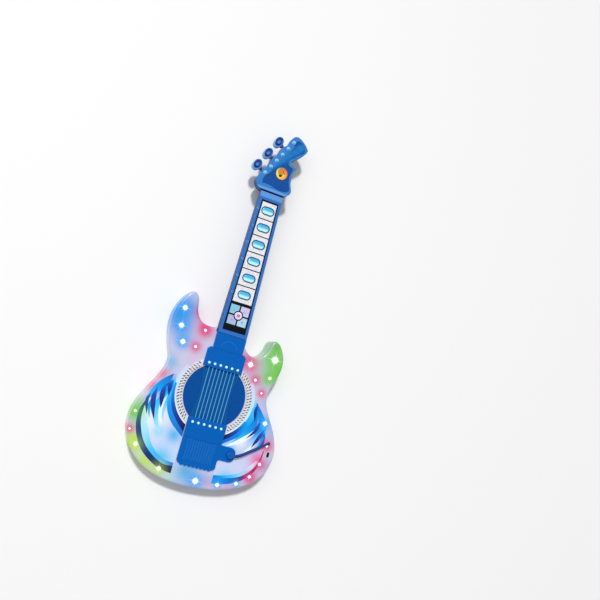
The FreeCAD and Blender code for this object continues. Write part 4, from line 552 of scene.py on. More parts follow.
def lever_material():
    """The tremolo arm: navy along the rod, and the cover's blue round its pivot, with a painted highlight
    along sharp edges.
    """
    material, net, shader = new_material("lever_navy")
    low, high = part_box("tremolo_cam")
    away = net.add("VectorMath", operation="SUBTRACT")
    net.feed(away.inputs[0], net.add("TexCoord").outputs["Object"])
    away.inputs[1].default_value = (low + high) / 2
    flat_away = net.add("VectorMath", operation="MULTIPLY")
    net.feed(flat_away.inputs[0], away.outputs[0])
    flat_away.inputs[1].default_value = (1.0, 1.0, 0.0)
    length = net.add("VectorMath", operation="LENGTH")
    net.feed(length.inputs[0], flat_away.outputs[0])
    rod = step_up(net, net.over(length.outputs["Value"], MM), 9.0, 5.0)
    drift = net.mix(net.noise(60.0, 2.0), srgb(6, 44, 112), srgb(12, 60, 136))
    colour = net.mix(rod, srgb(0, 88, 172), drift)
    # Painted highlight along sharp edges.
    colour = net.mix(net.times(edge_highlight_mask(net), 0.4), colour, srgb(70, 130, 210))
    surface(net, shader, colour, 0.36, coat=0.06, sheen=0.2)
    bump(net, shader, net.noise(900.0, 2.0), 0.04)
    return material


def glitter_material():
    """Silver glitter film: thousands of small flakes that each face their own way."""
    material, net, shader = new_material("glitter_film")
    flakes = net.add("TexVoronoi")
    flakes.inputs["Scale"].default_value = 1100.0
    net.feed(flakes.inputs["Vector"], net.position())
    grey = net.add("RGBToBW")
    net.feed(grey.inputs[0], flakes.outputs["Color"])
    silver = [(0.0, srgb(150, 154, 170)), (0.25, srgb(222, 222, 228)), (0.7, srgb(240, 240, 246)),
              (1.0, WHITE)]
    surface(net, shader, net.ramp(grey.outputs[0], silver), 0.35)
    shader.inputs["Metallic"].default_value = 0.15
    bump(net, shader, grey.outputs[0], 0.35)
    return material


def pad_material(name, low, high, tint, turn):
    """A printed pale corner key, shaded from one corner to the other with a soft blush."""
    material, net, shader = new_material(name)
    split = net.add("SeparateXYZ")
    net.feed(split.inputs[0], net.add("TexCoord").outputs["Generated"])
    rise = net.times(split.outputs[1], turn)
    slope = net.times(net.plus(split.outputs[0], rise), 0.5)
    colour = net.ramp(slope, [(0.0, low), (0.9, high)])
    blush = net.clamp(net.times(net.minus(net.noise(170.0, 1.0), 0.52), 5.0))
    colour = net.mix(net.times(blush, 0.55), colour, tint)
    surface(net, shader, colour, 0.28, coat=0.5)
    bump(net, shader, net.noise(800.0), 0.04)
    return material


def trim_material():
    """Near-white trim that the lamps' painted halos and star glints tint only a little."""
    def colour_of(net):
        return net.mix(net.noise(60.0), srgb(226, 226, 236), srgb(255, 253, 250))

    return lit("trim_white", colour_of, wash=0.25, halo=0.5, star=0.4, painted_glow=0.12)


def assign(material, *names):
    """Gives CAD nodes a material."""
    for name in names:
        mesh = nodes[name].data
        mesh.materials.clear()
        mesh.materials.append(material)
        for polygon in mesh.polygons:
            polygon.material_index = 0


for look, names in {
    "shell": ["front_shell", "back_shell", "battery_door"],
    "blue": ["neck_cover", "bridge_cover", "tremolo_cam"],
    "bed": ["string_bed"],
    "plate": ["sound_hole_plate"],
    "neck": ["neck_front_shell", "neck_back_shell"],
    "light": ["string_posts"],
    "pin": ["string_pins"],
    "ink": ["fretboard_label"],
    "rim": ["key_bezels"],
    "black": ["aux_jack", "mic_jack", "board_components", "tremolo_switch"],
    "board": ["fret_board", "main_board", "lamp_boards"],
    "silicone": ["rubber_keypad"],
    "cable": ["ribbon_cable"],
    "wire": ["wires"],
    "sleeve": ["battery_cells"],
    "cone": ["speaker_cone"],
    "ferrite": ["speaker_magnet"],
    "steel": ["battery_contacts", "speaker_basket", "tremolo_screw", "tremolo_spring", "shell_screws",
              "cover_screws", "neck_screws", "board_screws", "speaker_screws", "battery_door_screws"],
    "lamp_blue": ["blue_lamps"],
    "lamp_pink": ["pink_lamps"],
    "lamp_green": ["green_lamps"],
}.items():
    assign(materials[look], *names)
for i in (1, 2, 3):
    assign(knob_material(i), f"tuner_{i}")
assign(lever_material(), "tremolo_arm")
assign(trim_material(), "rosette_trim")
assign(glitter_material(), "glitter_tiles")
assign(key_material(), *[f"fret_key_{i}" for i in range(1, 7)])
ICE, LILAC, ROSE = srgb(150, 206, 236), srgb(206, 214, 244), srgb(214, 160, 200)
assign(pad_material("pad_song", srgb(128, 200, 226), srgb(190, 214, 240), ICE, -1.0), "song_key")
assign(pad_material("pad_rhythm", srgb(196, 214, 244), srgb(208, 196, 232), ROSE, 1.0), "rhythm_key")
assign(pad_material("pad_down", srgb(120, 196, 228), srgb(200, 180, 220), ROSE, 1.0), "volume_down_key")
assign(pad_material("pad_up", srgb(176, 214, 240), srgb(140, 204, 234), LILAC, -1.0), "volume_up_key")
assign(pad_material("pad_round", srgb(216, 206, 236), srgb(236, 240, 250), ROSE, 1.0), "round_key")


# ---- mesh helpers ----


def add_piece(name, verts, faces, material, body=GUITAR, smooth=True):
    """A mesh piece that rides on a body; verts are in millimetres."""
    mesh = bpy.data.meshes.new(name)
    mesh.from_pydata([Vector(v) * MM for v in verts], [], faces)
    mesh.validate()
    mesh.update()
    obj = bpy.data.objects.new(name, mesh)
    bpy.context.scene.collection.objects.link(obj)
    mesh.materials.append(material)
    for polygon in mesh.polygons:
        polygon.use_smooth = smooth
    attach(obj, body)
    return obj


def through(points, count):
    """count points evenly spread along a smooth curve through the given ones."""
    points = [Vector(p) for p in points]
    padded = [points[0] * 2 - points[1], *points, points[-1] * 2 - points[-2]]
    dense = []
    steps = 24
    for i in range(len(points) - 1):
        a, b, c, d = padded[i:i + 4]
        for k in range(steps):
            t = k / steps
            dense.append(0.5 * (
                2 * b + (c - a) * t + (2 * a - 5 * b + 4 * c - d) * t**2 + (3 * b - a - 3 * c + d) * t**3))
    dense.append(points[-1])
    lengths = [0.0]
    for a, b in zip(dense, dense[1:]):
        lengths.append(lengths[-1] + (b - a).length)
    out, j = [], 0
    for k in range(count):
        want = lengths[-1] * k / (count - 1)
        while j < len(dense) - 2 and lengths[j + 1] < want:
            j += 1
        span = lengths[j + 1] - lengths[j]
        out.append(dense[j].lerp(dense[j + 1], (want - lengths[j]) / span if span else 0.0))
    return out


def band(name, first, second, top, material, count=56, rows=4):
    """A thin solid sheet between two curved edges that run the same way, with a UV map along and across."""
    a, b = through(first, count), through(second, count)
    verts, faces, coords = [], [], []
    across = rows + 1
    for z in (top, top - PRINT_THICK):
        for i in range(count):
            for k in range(across):
                share = k / rows
                p = a[i].lerp(b[i], share)
                verts.append((p.x, p.y, z))
                coords.append((i / (count - 1), share))
    layer_size = count * across

    def at(i, k, under=False):
        return i * across + k + (layer_size if under else 0)

    for i in range(count - 1):
        for k in range(rows):
            faces.append((at(i, k), at(i + 1, k), at(i + 1, k + 1), at(i, k + 1)))
            faces.append((at(i, k, True), at(i, k + 1, True), at(i + 1, k + 1, True), at(i + 1, k, True)))
        faces.append((at(i, 0), at(i, 0, True), at(i + 1, 0, True), at(i + 1, 0)))
        faces.append((at(i, rows), at(i + 1, rows), at(i + 1, rows, True), at(i, rows, True)))
    for k in range(rows):
        faces.append((at(0, k), at(0, k + 1), at(0, k + 1, True), at(0, k, True)))
        last = count - 1
        faces.append((at(last, k), at(last, k, True), at(last, k + 1, True), at(last, k + 1)))
    obj = add_piece(name, verts, faces, material, smooth=False)
    bm = bmesh.new()
    bm.from_mesh(obj.data)
    layer = bm.loops.layers.uv.new("sweep")
    bm.verts.ensure_lookup_table()
    for face in bm.faces:
        for loop in face.loops:
            loop[layer].uv = coords[loop.vert.index]
    bmesh.ops.remove_doubles(bm, verts=bm.verts, dist=0.02 * MM)
    bmesh.ops.recalc_face_normals(bm, faces=bm.faces)
    bm.to_mesh(obj.data)
    bm.free()
    return obj


def ink(name, stops, halo=0.85):
    """Translucent printing whose colour stops run along a band."""
    def colour_of(net):
        split = net.add("SeparateXYZ")
        uv = net.add("UVMap", uv_map="sweep")
        net.feed(split.inputs[0], uv.outputs[0])
        wobble = net.times(net.minus(net.noise(30.0, 2.0), 0.5), 0.12)
        colour = net.ramp(net.plus(split.outputs[0], wobble), stops)
        return colour

    return lit(name, colour_of, wash=0.0, halo=halo, rough=0.26, coat=0.08, grain=0.02, depth=0.88)


def tube(points, radius, sides=10):
    """Vertices and faces of a round tube with closed ends through points, in millimetres."""
    verts, faces = [], []
    for i, p in enumerate(points):
        ahead = points[min(i + 1, len(points) - 1)] - points[max(i - 1, 0)]
        ahead.normalize()
        side = ahead.cross(Vector((0, 0, 1)))
        if side.length < 1e-6:
            side = Vector((1, 0, 0))
        side.normalize()
        up = side.cross(ahead)
        for k in range(sides):
            angle = 2 * math.pi * k / sides
            verts.append(p + side * math.cos(angle) * radius + up * math.sin(angle) * radius)
    for i in range(len(points) - 1):
        for k in range(sides):
            a, b = i * sides + k, i * sides + (k + 1) % sides
            faces.append((a, b, b + sides, a + sides))
    faces.append(tuple(reversed(range(sides))))
    faces.append(tuple(range(len(verts) - sides, len(verts))))
    return verts, faces


def merged(parts):
    """One vertex and face list from several."""
    verts, faces = [], []
    for part_verts, part_faces in parts:
        start = len(verts)
        verts.extend(part_verts)
        faces.extend(tuple(i + start for i in face) for face in part_faces)
    return verts, faces


def oval(x, y, across, along, count, lean=0.0):
    """Points round an oval and back to its start; lean tilts it."""
    angles = [2 * math.pi * k / count for k in range(count + 1)]
    return [(x + across * math.cos(a) - lean * math.sin(a), y + along * math.sin(a) + lean * math.cos(a))
            for a in angles]


def raised(points, z):
    """Flat points at a height."""
    return [Vector((x, y, z)) for x, y in points]


def flat_shape(outline, low, high):
    """A plate with a straight-sided outline, in millimetres."""
    n = len(outline)
    verts = [Vector((x, y, low)) for x, y in outline] + [Vector((x, y, high)) for x, y in outline]
    faces = [tuple(reversed(range(n))), tuple(range(n, 2 * n))]
    for i in range(n):
        j = (i + 1) % n
        faces.append((i, j, j + n, i + n))
    return verts, faces


# ---- prints on the body's face ----

NAVY, AZURE, CYAN, PALE = srgb(12, 46, 130), srgb(10, 120, 214), srgb(70, 196, 246), srgb(214, 222, 250)
DEEP, TEAL, MIST, MAROON = srgb(14, 18, 66), srgb(10, 66, 100), srgb(234, 244, 255), srgb(112, 14, 84)
BRIGHT = srgb(0, 150, 232)
RING_EDGE = 67.6


def level(step):
    """Height of a print layer above the face; later layers lie higher."""
    return FACE + 0.08 + 0.05 * step


def around(radius, first, last, count=9):
    """Points of an arc about the sound hole, by angle in degrees."""
    angles = [math.radians(first + (last - first) * i / (count - 1)) for i in range(count)]
    return [(radius * math.cos(a), radius * math.sin(a), 0.0) for a in angles]


def flat(*points):
    """Points of a face print, from x and y."""
    return [(x, y, 0.0) for x, y in points]


def sheet(name, runs, top, material):
    """A thin solid sheet whose outline is made of smooth runs joined end to end."""
    outline = []
    for run in runs:
        points = through(run, 8 * len(run)) if len(run) > 2 else [Vector(p) for p in run]
        for p in points:
            if not outline or (outline[-1] - p).length > 0.05:
                outline.append(p)
    if (outline[0] - outline[-1]).length < 0.05:
        outline.pop()
    verts, faces = flat_shape([(p.x, p.y) for p in outline], top - PRINT_THICK, top)
    obj = add_piece(name, verts, faces, material, smooth=False)
    bm = bmesh.new()
    bm.from_mesh(obj.data)
    bmesh.ops.triangulate(bm, faces=[f for f in bm.faces if len(f.verts) > 4])
    bmesh.ops.recalc_face_normals(bm, faces=bm.faces)
    bm.to_mesh(obj.data)
    bm.free()
    return obj


def clouded(name, ground, clouds):
    """Translucent printing: a ground colour with soft round clouds (x, y, radius, colour)."""
    def colour_of(net):
        colour = ground
        for x, y, radius, tint in clouds:
            colour = net.mix(lamp_at(net, x, y, radius)["Halo"], colour, tint)
        return colour

    return lit(name, colour_of, wash=0.0, halo=0.8, rough=0.26, coat=0.08, grain=0.02, depth=0.82)


# Edges that neighbouring prints share.
ARC_LEFT = [(-68, -12), (-64.5, -29), (-57.5, -42.5), (-48, -54), (-33.2, -68)]
RIM_LEFT = [(-109.5, -46), (-111, -62), (-108, -80), (-101, -96), (-91, -110), (-78, -121), (-62, -130),
            (-47, -134.5), (-35, -136)]
STEM_LEFT = [(-104, -64), (-99.5, -79), (-94, -91), (-86, -102), (-76, -111), (-65, -118.5), (-50, -124.5),
             (-35, -124)]


def sound_hole_prints():
    """The pale ring outside the trim and the dark and bright bands below it."""
    pale = ink("ring_pale", [
        (0.0, srgb(206, 204, 236)), (0.35, srgb(178, 226, 248)), (1.0, srgb(232, 238, 252))], halo=0.4)
    for name, first, last in (("ring_left", 146, 237), ("ring_right", 34, -57)):
        band(name, around(62.2, first, last, 15), around(RING_EDGE, first, last, 15), level(1), pale)
    dark = ink("arc_dark", [
        (0.0, BRIGHT), (0.25, AZURE), (0.5, srgb(14, 76, 176)), (0.8, NAVY), (1.0, DEEP)], halo=0.4)
    band("arc_left_dark", around(64.6, 176, 239, 12), flat((-67.5, 6), *ARC_LEFT), level(3), dark)
    band("arc_right_dark", around(65.0, -24, -59.5, 12),
         flat((63.5, -26), (60, -37), (52, -48.5), (43, -57.5), (33.4, -64)), level(3), dark)
    bright = ink("arc_bright", [(0.0, CYAN), (0.45, BRIGHT), (1.0, srgb(10, 100, 200))])
    band("arc_left_bright", flat((-67.5, 8), *ARC_LEFT),
         flat((-71, 12), (-73, -10), (-71, -30), (-65, -46), (-54, -60), (-33.2, -76)), level(2), bright)
    band("arc_right_bright", around(66.5, -2, -60, 12),
         flat((72.5, 8), (76.5, -13), (72, -33), (60, -51), (33.2, -71)), level(2), bright)


def wings():
    """Broad generic feather shapes on both sides of the covers."""
    left_ground = clouded("wing_left_ground", PALE, [
        (-58, -118, 20, CYAN), (-84, 0, 22, AZURE), (-70, -20, 15, srgb(60, 160, 234)),
        (-46, -76, 14, srgb(96, 184, 244)), (-72, -76, 9, srgb(150, 216, 250)),
        (-96, -62, 16, MIST), (-78, -52, 12, MIST)])
    sheet("wing_left", [
        flat((-69.5, 23), (-80, 4), (-93, -13), (-104, -30), *RIM_LEFT),
        flat((-35, -136), (-33.2, -110)), flat((-33.2, -110), (-33.2, -59.3)),
        around(RING_EDGE, 240.6, 172)], level(0), left_ground)
    right_ground = clouded("wing_right_ground", srgb(206, 214, 246), [
        (84, -8, 20, AZURE), (74, -36, 17, srgb(70, 170, 238)), (94, -36, 16, AZURE),
        (46, -76, 13, srgb(120, 200, 246)), (54, -128, 15, CYAN), (62, -60, 10, MIST),
        (98, -80, 14, srgb(222, 140, 196))])
    sheet("wing_right", [
        flat((69.5, 14), (79, -3), (90, -18), (99, -34), (104.5, -52), (106, -70), (104, -88), (96, -106),
             (80, -122), (58, -132.5), (33.4, -137)),
        flat((33.4, -137), (33.4, -59.3)), around(RING_EDGE, -60.2, 6)], level(0), right_ground)
    bright = ink("sweep_bright", [
        (0.0, MIST), (0.3, srgb(170, 226, 250)), (0.6, CYAN), (0.85, BRIGHT), (1.0, AZURE)])
    band("sweep_left_bright", flat((-104.5, -40), *STEM_LEFT),
         flat((-101, -42), (-94, -64), (-87.5, -78), (-82, -90), (-74.5, -101), (-65, -110), (-52, -117),
              (-35, -119)), level(2), bright, rows=6)
    band("sweep_right_bright", flat((101, -84), (94, -100), (77, -115.5), (54, -123.5), (33.4, -128)),
         flat((97, -84), (84, -101), (70, -112), (53, -119), (33.4, -123)), level(2), bright, rows=6)
    dark = ink("sweep_dark", [
        (0.0, TEAL), (0.35, srgb(10, 62, 116)), (0.7, srgb(10, 44, 112)), (0.9, DEEP), (1.0, DEEP)],
        halo=0.3)
    band("sweep_left_dark", flat((-103, -28), *RIM_LEFT),
         flat((-102, -30), (-104.5, -48), *STEM_LEFT), level(4), dark, rows=6)
    rose = ink("sweep_rose", [
        (0.0, BRIGHT), (0.22, AZURE), (0.42, srgb(14, 50, 132)), (0.66, MAROON), (1.0, srgb(190, 40, 110))],
        halo=0.7)
    band("sweep_right_dark",
         flat((33.4, -137), (58, -132.5), (80, -122), (96, -106), (104, -88), (106, -66)),
         flat((33.4, -128), (54, -123.5), (77, -115.5), (93, -101), (101, -84), (104.5, -64)),
         level(4), rose, rows=6)


def quill(name, points, width, material, step):
    """A stroke through points, pointed at both ends and widest part of the way along."""
    count, widest = 20, 0.42
    centre = through(flat(*points), count)
    first, second = [], []
    for i, p in enumerate(centre):
        ahead = centre[min(i + 1, count - 1)] - centre[max(i - 1, 0)]
        ahead.normalize()
        side = Vector((-ahead.y, ahead.x, 0))
        t = i / (count - 1)
        if t < widest:
            swell = math.sin(math.pi / 2 * t / widest)
        else:
            swell = math.cos(math.pi / 2 * (t - widest) / (1 - widest))
        half = 0.5 * width * swell + 0.03
        first.append(p + side * half)
        second.append(p - side * half)
    return band(name, first, second, level(step), material, count=28, rows=2)


def quills():
    """Pointed feather strokes at the top of both wings."""
    navy = ink("quill_navy", [
        (0.0, AZURE), (0.3, srgb(16, 70, 168)), (0.6, srgb(16, 46, 132)), (1.0, srgb(10, 26, 96))],
        halo=0.3)
    azure = ink("quill_azure", [(0.0, srgb(14, 96, 196)), (0.5, BRIGHT), (1.0, CYAN)], halo=0.3)
    sky = ink("quill_sky", [(0.0, BRIGHT), (0.4, CYAN), (1.0, srgb(176, 230, 252))], halo=0.3)
    snow = ink("quill_snow", [(0.0, srgb(190, 226, 250)), (0.5, MIST), (1.0, MIST)], halo=0.3)
    # Strokes: look, points from the tip down, width.
    strokes = {
        "left": [
            ("azure", [(-73, 18), (-84, 0), (-96, -16), (-104, -34)], 13),
            ("azure", [(-71, 8), (-76, -10), (-80, -28)], 12),
            ("sky", [(-80, -14), (-86, -36), (-82, -58), (-69, -80)], 9),
            ("snow", [(-74, -16), (-78, -36), (-76, -52), (-70, -66)], 5),
            ("sky", [(-71, -6), (-75, -28), (-74, -46), (-67, -62)], 7),
            ("azure", [(-92, -22), (-97, -40), (-92, -60)], 5),
            ("navy", [(-92, -8), (-94, -24), (-91, -42), (-84, -60)], 8),
            ("navy", [(-81, 0), (-82, -18), (-79, -40)], 8),
            ("navy", [(-100, -20), (-103, -33), (-98, -54)], 5),
            ("navy", [(-73, 8), (-74, -2), (-72, -18)], 6),
        ],
        "right": [
            ("azure", [(71, 8), (82, -10), (93, -26), (102, -48)], 11),
            ("azure", [(76, -8), (76, -28), (64, -50), (46, -66)], 11),
            ("snow", [(84, -28), (77, -44), (60, -60), (38, -74)], 8),
            ("azure", [(86, -20), (81, -40), (68, -58)], 9),
            ("sky", [(94, -30), (88, -52), (74, -72)], 8),
            ("snow", [(90, -46), (84, -62), (70, -78)], 5),
            ("azure", [(98, -36), (97, -56), (88, -74)], 8),
            ("navy", [(74, 8), (73, -6), (76, -22)], 5),
            ("navy", [(87, -16), (82, -36), (70, -53)], 5),
            ("navy", [(97, -30), (90, -48), (82, -66)], 6),
            ("navy", [(101, -42), (99, -56), (92, -68)], 4),
        ],
    }
    looks = {"azure": (azure, 5), "sky": (sky, 6), "snow": (snow, 7), "navy": (navy, 8)}
    for side, rows in strokes.items():
        for i, (look, points, width) in enumerate(rows, start=1):
            material, step = looks[look]
            quill(f"quill_{side}_{i}", points, width, material, step)


def rope_dashes():
    """Dark slanted dashes in two rows on the trim."""
    dark = plastic("dash_dark", srgb(74, 66, 84), srgb(120, 110, 130), rough=0.4, edge=0.2)
    parts = []
    trim_rise, pitch, slant, clear_of_cover = 1.6, 4.7, 0.55, 2.4
    top = FACE + trim_rise
    shuffle = random.Random(7)
    for row, radius in enumerate((55.3, 59.7)):
        turns = int(2 * math.pi * radius / pitch)
        for i in range(turns):
            angle = 2 * math.pi * (i + 0.5 * row) / turns
            middle = Vector((radius * math.cos(angle), radius * math.sin(angle), 0))
            if abs(middle.x) < COVER_HALF + clear_of_cover:
                continue
            out = middle.normalized()
            along = Vector((-out.y, out.x, 0))
            size = shuffle.uniform(0.8, 1.15)
            reach = (out * 1.7 + along * 1.7 * slant) * size
            half = (along - out * 0.3) * 0.75 * size
            ends = (middle + reach, middle - reach)
            corners = [ends[0] - half, ends[0] + half, ends[1] + half, ends[1] - half]
            parts.append(flat_shape([(c.x, c.y) for c in corners], top - 0.25, top + 0.12))
    verts, faces = merged(parts)
    add_piece("trim_dashes", verts, faces, dark, smooth=False)


# ---- strings and relief ----


def wound_strings():
    """Each string as a twisted cord: a round wire whose surface winds round it."""
    low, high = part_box("strings")
    count, radius = 8, 0.75
    parts = []
    steps, sides, strands, lay = 150, 12, 3, 5.2
    y0, y1 = low.y / MM, high.y / MM
    for s in range(count):
        x = (s - (count - 1) / 2) * STRING_PITCH
        verts, faces = [], []
        for i in range(steps + 1):
            y = y0 + (y1 - y0) * i / steps
            twist = 2 * math.pi * y / lay
            for k in range(sides):
                angle = 2 * math.pi * k / sides
                r = radius * (0.86 + 0.14 * abs(math.cos(strands * 0.5 * (angle - twist))))
                verts.append(Vector((x + r * math.cos(angle), y, STRING_Z + r * math.sin(angle))))
        for i in range(steps):
            for k in range(sides):
                a, b = i * sides + k, i * sides + (k + 1) % sides
                faces.append((a, a + sides, b + sides, b))
        faces.append(tuple(range(sides)))
        faces.append(tuple(reversed(range(steps * sides, (steps + 1) * sides))))
        parts.append((verts, faces))
    verts, faces = merged(parts)
    cord = plastic("cord_blue", srgb(78, 156, 212), srgb(150, 206, 242), rough=0.3, edge=0.4, glow=0.1)
    obj = add_piece("strings_wound", verts, faces, cord)
    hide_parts("strings")


def bed_half(y):
    """Half width of the waisted bed under the strings."""
    pinch, flare, reach = 25.5, 5.2, 44.0
    return pinch + flare * min(1.0, abs(y) / reach) ** 2


def bed_relief():
    """Short slanted ridges between the strings, and a raised edge down both sides of the bed."""
    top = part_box("string_bed")[1].z / MM
    ridge = plastic("ridge_blue", srgb(10, 92, 164), srgb(50, 130, 204), rough=0.3, edge=0.3)
    parts = []
    columns, rows, row_pitch, first_y, clearance = 9, 26, 3.1, -38.5, 3.8
    dx, dy = 1.6, 1.3
    for column in range(columns):
        x = (column - columns // 2) * STRING_PITCH
        for row in range(rows):
            y = first_y + row * row_pitch
            if abs(x) + clearance > bed_half(y):
                continue
            ends = [Vector((x - dx, y + dy, top)), Vector((x, y, top + 0.1)), Vector((x + dx, y - dy, top))]
            parts.append(tube(ends, 0.34, 6))
    for side in (-1, 1):
        line = [Vector((side * (bed_half(y) - 0.6), y, top)) for y in range(-43, 44, 3)]
        parts.append(tube(line, 0.6, 8))
    verts, faces = merged(parts)
    add_piece("bed_ridges", verts, faces, ridge)


def neck_marks():
    """A small ring and two short lines on the neck's left side beside each key."""
    pale = plastic("mark_pale", srgb(110, 176, 232), srgb(190, 224, 250), rough=0.35, edge=0.2)
    top = NECK_FACE + 0.05
    first, pitch, inset, ring = 167.5, 27.7, 2.7, 1.5
    neck_start, neck_length, half_start, half_end = 101, 236, 24.6, 18.8
    parts = []
    for i in range(6):
        y = first + i * pitch
        x = inset - (half_start + (y - neck_start) / neck_length * (half_end - half_start))
        parts.append(tube(raised(oval(x, y, ring, ring, 20), top), 0.28, 6))
        parts.append(tube(raised([(x + 1.6, y), (x + 2.4, y), (x + 3.4, y)], top), 0.28, 6))
        parts.append(tube(raised([(x - 2.2, y + 0.6), (x - 1.9, y), (x - 1.6, y)], top), 0.24, 6))
    verts, faces = merged(parts)
    add_piece("neck_marks", verts, faces, pale)


def pad_symbols():
    """Plus, minus and note signs, generic, on the control keys."""
    sign = plastic("sign_rose", srgb(196, 128, 186), srgb(230, 180, 214), rough=0.35, edge=0.1)
    y0, reach = 133.5, 8.6
    top, round_top = NECK_FACE + 1.4, NECK_FACE + 1.7
    sink, rise = 0.05, 0.12

    def bar(x, y, w, h):
        corners = [(x - w, y - h), (x + w, y - h), (x + w, y + h), (x - w, y + h)]
        return flat_shape(corners, top - sink, top + rise)

    def dot(x, y, r, z=top):
        return flat_shape(oval(x, y, r, r * 0.8, 18)[:-1], z - sink, z + rise)

    def note(x, y, s):
        return [dot(x - 0.9 * s, y - 1.6 * s, 1.0 * s),
                bar(x, y + 0.2 * s, 0.22 * s, 1.9 * s),
                bar(x + 0.7 * s, y + 1.9 * s, 0.8 * s, 0.32 * s)]

    signs = {
        "volume_up_key": [bar(reach, y0 - reach, 2.4, 0.5), bar(reach, y0 - reach, 0.5, 2.4)],
        "volume_down_key": [bar(-reach, y0 - reach, 2.4, 0.5)],
        "song_key": note(-reach, y0 + reach, 1.25),
        "rhythm_key": note(reach - 1.4, y0 + reach, 1.1) + note(reach + 1.9, y0 + reach - 0.6, 0.9),
        "round_key": [dot(0, y0, 3.2, round_top)],
    }
    for body, parts in signs.items():
        verts, faces = merged(parts)
        add_piece("sign_" + body, verts, faces, sign, body=body, smooth=False)


def badge_material():
    """The badge: warm colours that swing round its middle."""
    material, net, shader = new_material("badge_warm")
    low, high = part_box("headstock_badge")
    centre = (low + high) / 2
    away = net.add("VectorMath", operation="SUBTRACT")
    net.feed(away.inputs[0], net.position())
    away.inputs[1].default_value = centre
    split = net.add("SeparateXYZ")
    net.feed(split.inputs[0], away.outputs[0])
    angle = net.math("ARCTAN2", split.outputs[1], split.outputs[0])
    length = net.add("VectorMath", operation="LENGTH")
    net.feed(length.inputs[0], away.outputs[0])
    swirl = net.plus(net.over(angle, 2 * math.pi), net.times(length.outputs["Value"], 60.0))
    share = net.math("FRACT", swirl)
    colour = net.ramp(share, [
        (0.0, srgb(244, 214, 60)), (0.3, srgb(246, 170, 50)), (0.6, srgb(226, 96, 36)),
        (0.85, srgb(150, 150, 40)), (1.0, srgb(236, 226, 90))])
    surface(net, shader, colour, 0.3, coat=0.5, glow=0.12)
    bump(net, shader, net.noise(500.0), 0.05)
    return material


def badge_note():
    """A raised generic note on the badge."""
    low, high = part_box("headstock_badge")
    cx, cy, top = (low.x + high.x) / 2 / MM, (low.y + high.y) / 2 / MM, high.z / MM
    dark = plastic("note_dark", srgb(70, 58, 24), srgb(140, 120, 60), rough=0.35, edge=0.3)
    head = oval(cx - 1.6, cy - 4.0, 2.5, 1.9, 28, lean=0.5)[:-1]
    stem = [(0.5, -4.0), (1.3, -4.0), (1.3, 5.0), (0.5, 5.0)]
    flag = [(0.8, 5.0), (2.0, 3.2), (4.2, 1.6), (4.4, -1.0), (3.7, -0.6), (3.2, 0.9), (1.9, 1.7),
            (0.8, 2.4)]
    stem, flag = ([(cx + x, cy + y) for x, y in shape] for shape in (stem, flag))
    verts, faces = merged([flat_shape(shape, top - 0.1, top + 0.35) for shape in (head, stem, flag)])
    add_piece("badge_note", verts, faces, dark, smooth=False)


def head_relief():
    """A low ring and two sweeps moulded in the headstock's sunk panel."""
    relief = plastic("relief_blue", srgb(26, 104, 186), srgb(90, 170, 226), rough=0.28, edge=0.4)
    top = HEAD_FACE - 1.0
    x, y = 18.6, 412.5
    parts = []
    for radius in (8.0, 4.6):
        parts.append(tube(raised(oval(x, y, radius, radius * 0.86, 40), top), 0.5, 8))
    parts.append(tube(through([(4.5, 388, top), (7.5, 396, top), (13, 403, top)], 16), 0.6, 8))
    parts.append(tube(through([(8.5, 387, top), (10.5, 394, top), (15, 400, top)], 16), 0.5, 8))
    verts, faces = merged(parts)
    add_piece("head_relief", verts, faces, relief)


sound_hole_prints()
wings()
quills()
rope_dashes()
wound_strings()
bed_relief()
neck_marks()
pad_symbols()
assign(badge_material(), "headstock_badge")
badge_note()
head_relief()


# ---- floor, light and camera ----


def floor():
    """A plain pale floor under the guitar."""
    material, net, shader = new_material("floor_pale")
    grey, pale = (0.90, 0.90, 0.90, 1), (0.92, 0.92, 0.92, 1)
    surface(net, shader, net.mix(net.noise(3.0), grey, pale), 0.9, sheen=0.1)
    half, below = 6.0, 0.0005
    corners = [(-half, -half, 0), (half, -half, 0), (half, half, 0), (-half, half, 0)]
    mesh = bpy.data.meshes.new("floor")
    mesh.from_pydata(corners, [], [(0, 1, 2, 3)])
    obj = bpy.data.objects.new("floor", mesh)
    obj.location.z = -below
    bpy.context.scene.collection.objects.link(obj)
    mesh.materials.append(material)


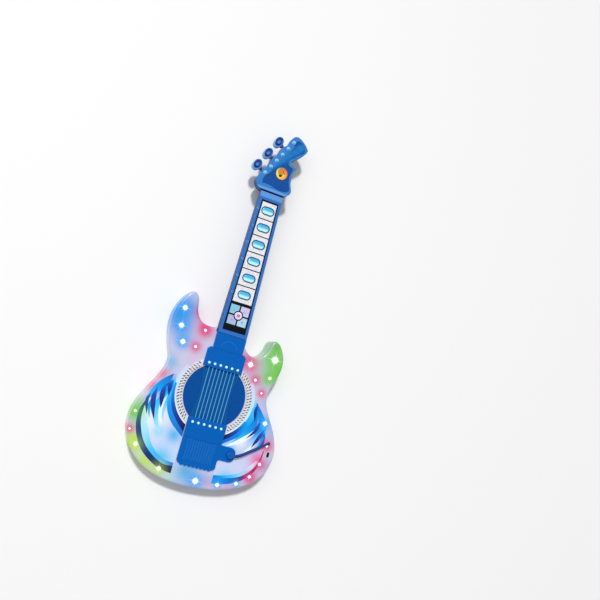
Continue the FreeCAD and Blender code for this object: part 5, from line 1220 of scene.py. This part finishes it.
def light(name, kind, power, place, target, **settings):
    """A light at a place, turned towards a target."""
    data = bpy.data.lights.new(name, kind)
    data.energy = power
    for key, setting in settings.items():
        setattr(data, key, setting)
    obj = bpy.data.objects.new(name, data)
    obj.location = place
    obj.rotation_euler = (Vector(target) - Vector(place)).to_track_quat("-Z", "Y").to_euler()
    bpy.context.scene.collection.objects.link(obj)
    return obj


def world(strength, seen=0.95):
    """Even white light; the camera sees the background brighter than it lights the guitar."""
    scene = bpy.context.scene
    scene.world = bpy.data.worlds.new("studio")
    scene.world.use_nodes = True
    background = scene.world.node_tree.nodes["Background"]
    background.inputs[0].default_value = (1.0, 1.0, 1.0, 1.0)
    net = Net(scene.world.node_tree)
    camera_ray = net.add("LightPath").outputs["Is Camera Ray"]
    net.feed(background.inputs[1], net.plus(net.times(camera_ray, seen - strength), strength))


def camera():
    """The photograph's viewpoint: nearly straight down on the face, from the guitar's left, rolled."""
    lean, roll, distance = math.radians(14.0), math.radians(15.8), 1.0
    sensor_width, focal_length = 36.0, 37.5
    aim = Vector((0.0, 30 * MM, FACE * MM))
    view = Vector((math.sin(lean), 0.0, -math.cos(lean)))
    across = Vector((math.cos(lean), 0.0, math.sin(lean)))
    along = Vector((0.0, 1.0, 0.0))
    right = across * math.cos(roll) + along * math.sin(roll)
    up = along * math.cos(roll) - across * math.sin(roll)
    data = bpy.data.cameras.new("photo_view")
    data.sensor_width = sensor_width
    data.lens = focal_length
    data.shift_x, data.shift_y = 0.134, 0.1305
    data.clip_start = 0.05
    obj = bpy.data.objects.new("photo_view", data)
    rows = Matrix((right, up, -view)).transposed()
    obj.matrix_world = Matrix.Translation(aim - view * distance) @ rows.to_4x4()
    bpy.context.scene.collection.objects.link(obj)
    bpy.context.scene.camera = obj


floor()
world(0.36)
light("sun", "SUN", 2.1, (-0.4, 0.8, 1.5), (0, 0, 0), angle=math.radians(6))
light("soft_top", "AREA", 4.0, (-0.7, 0.6, 1.3), (0, 0.1, 0), size=1.0)
camera()
bpy.context.scene.view_settings.view_transform = "Standard"
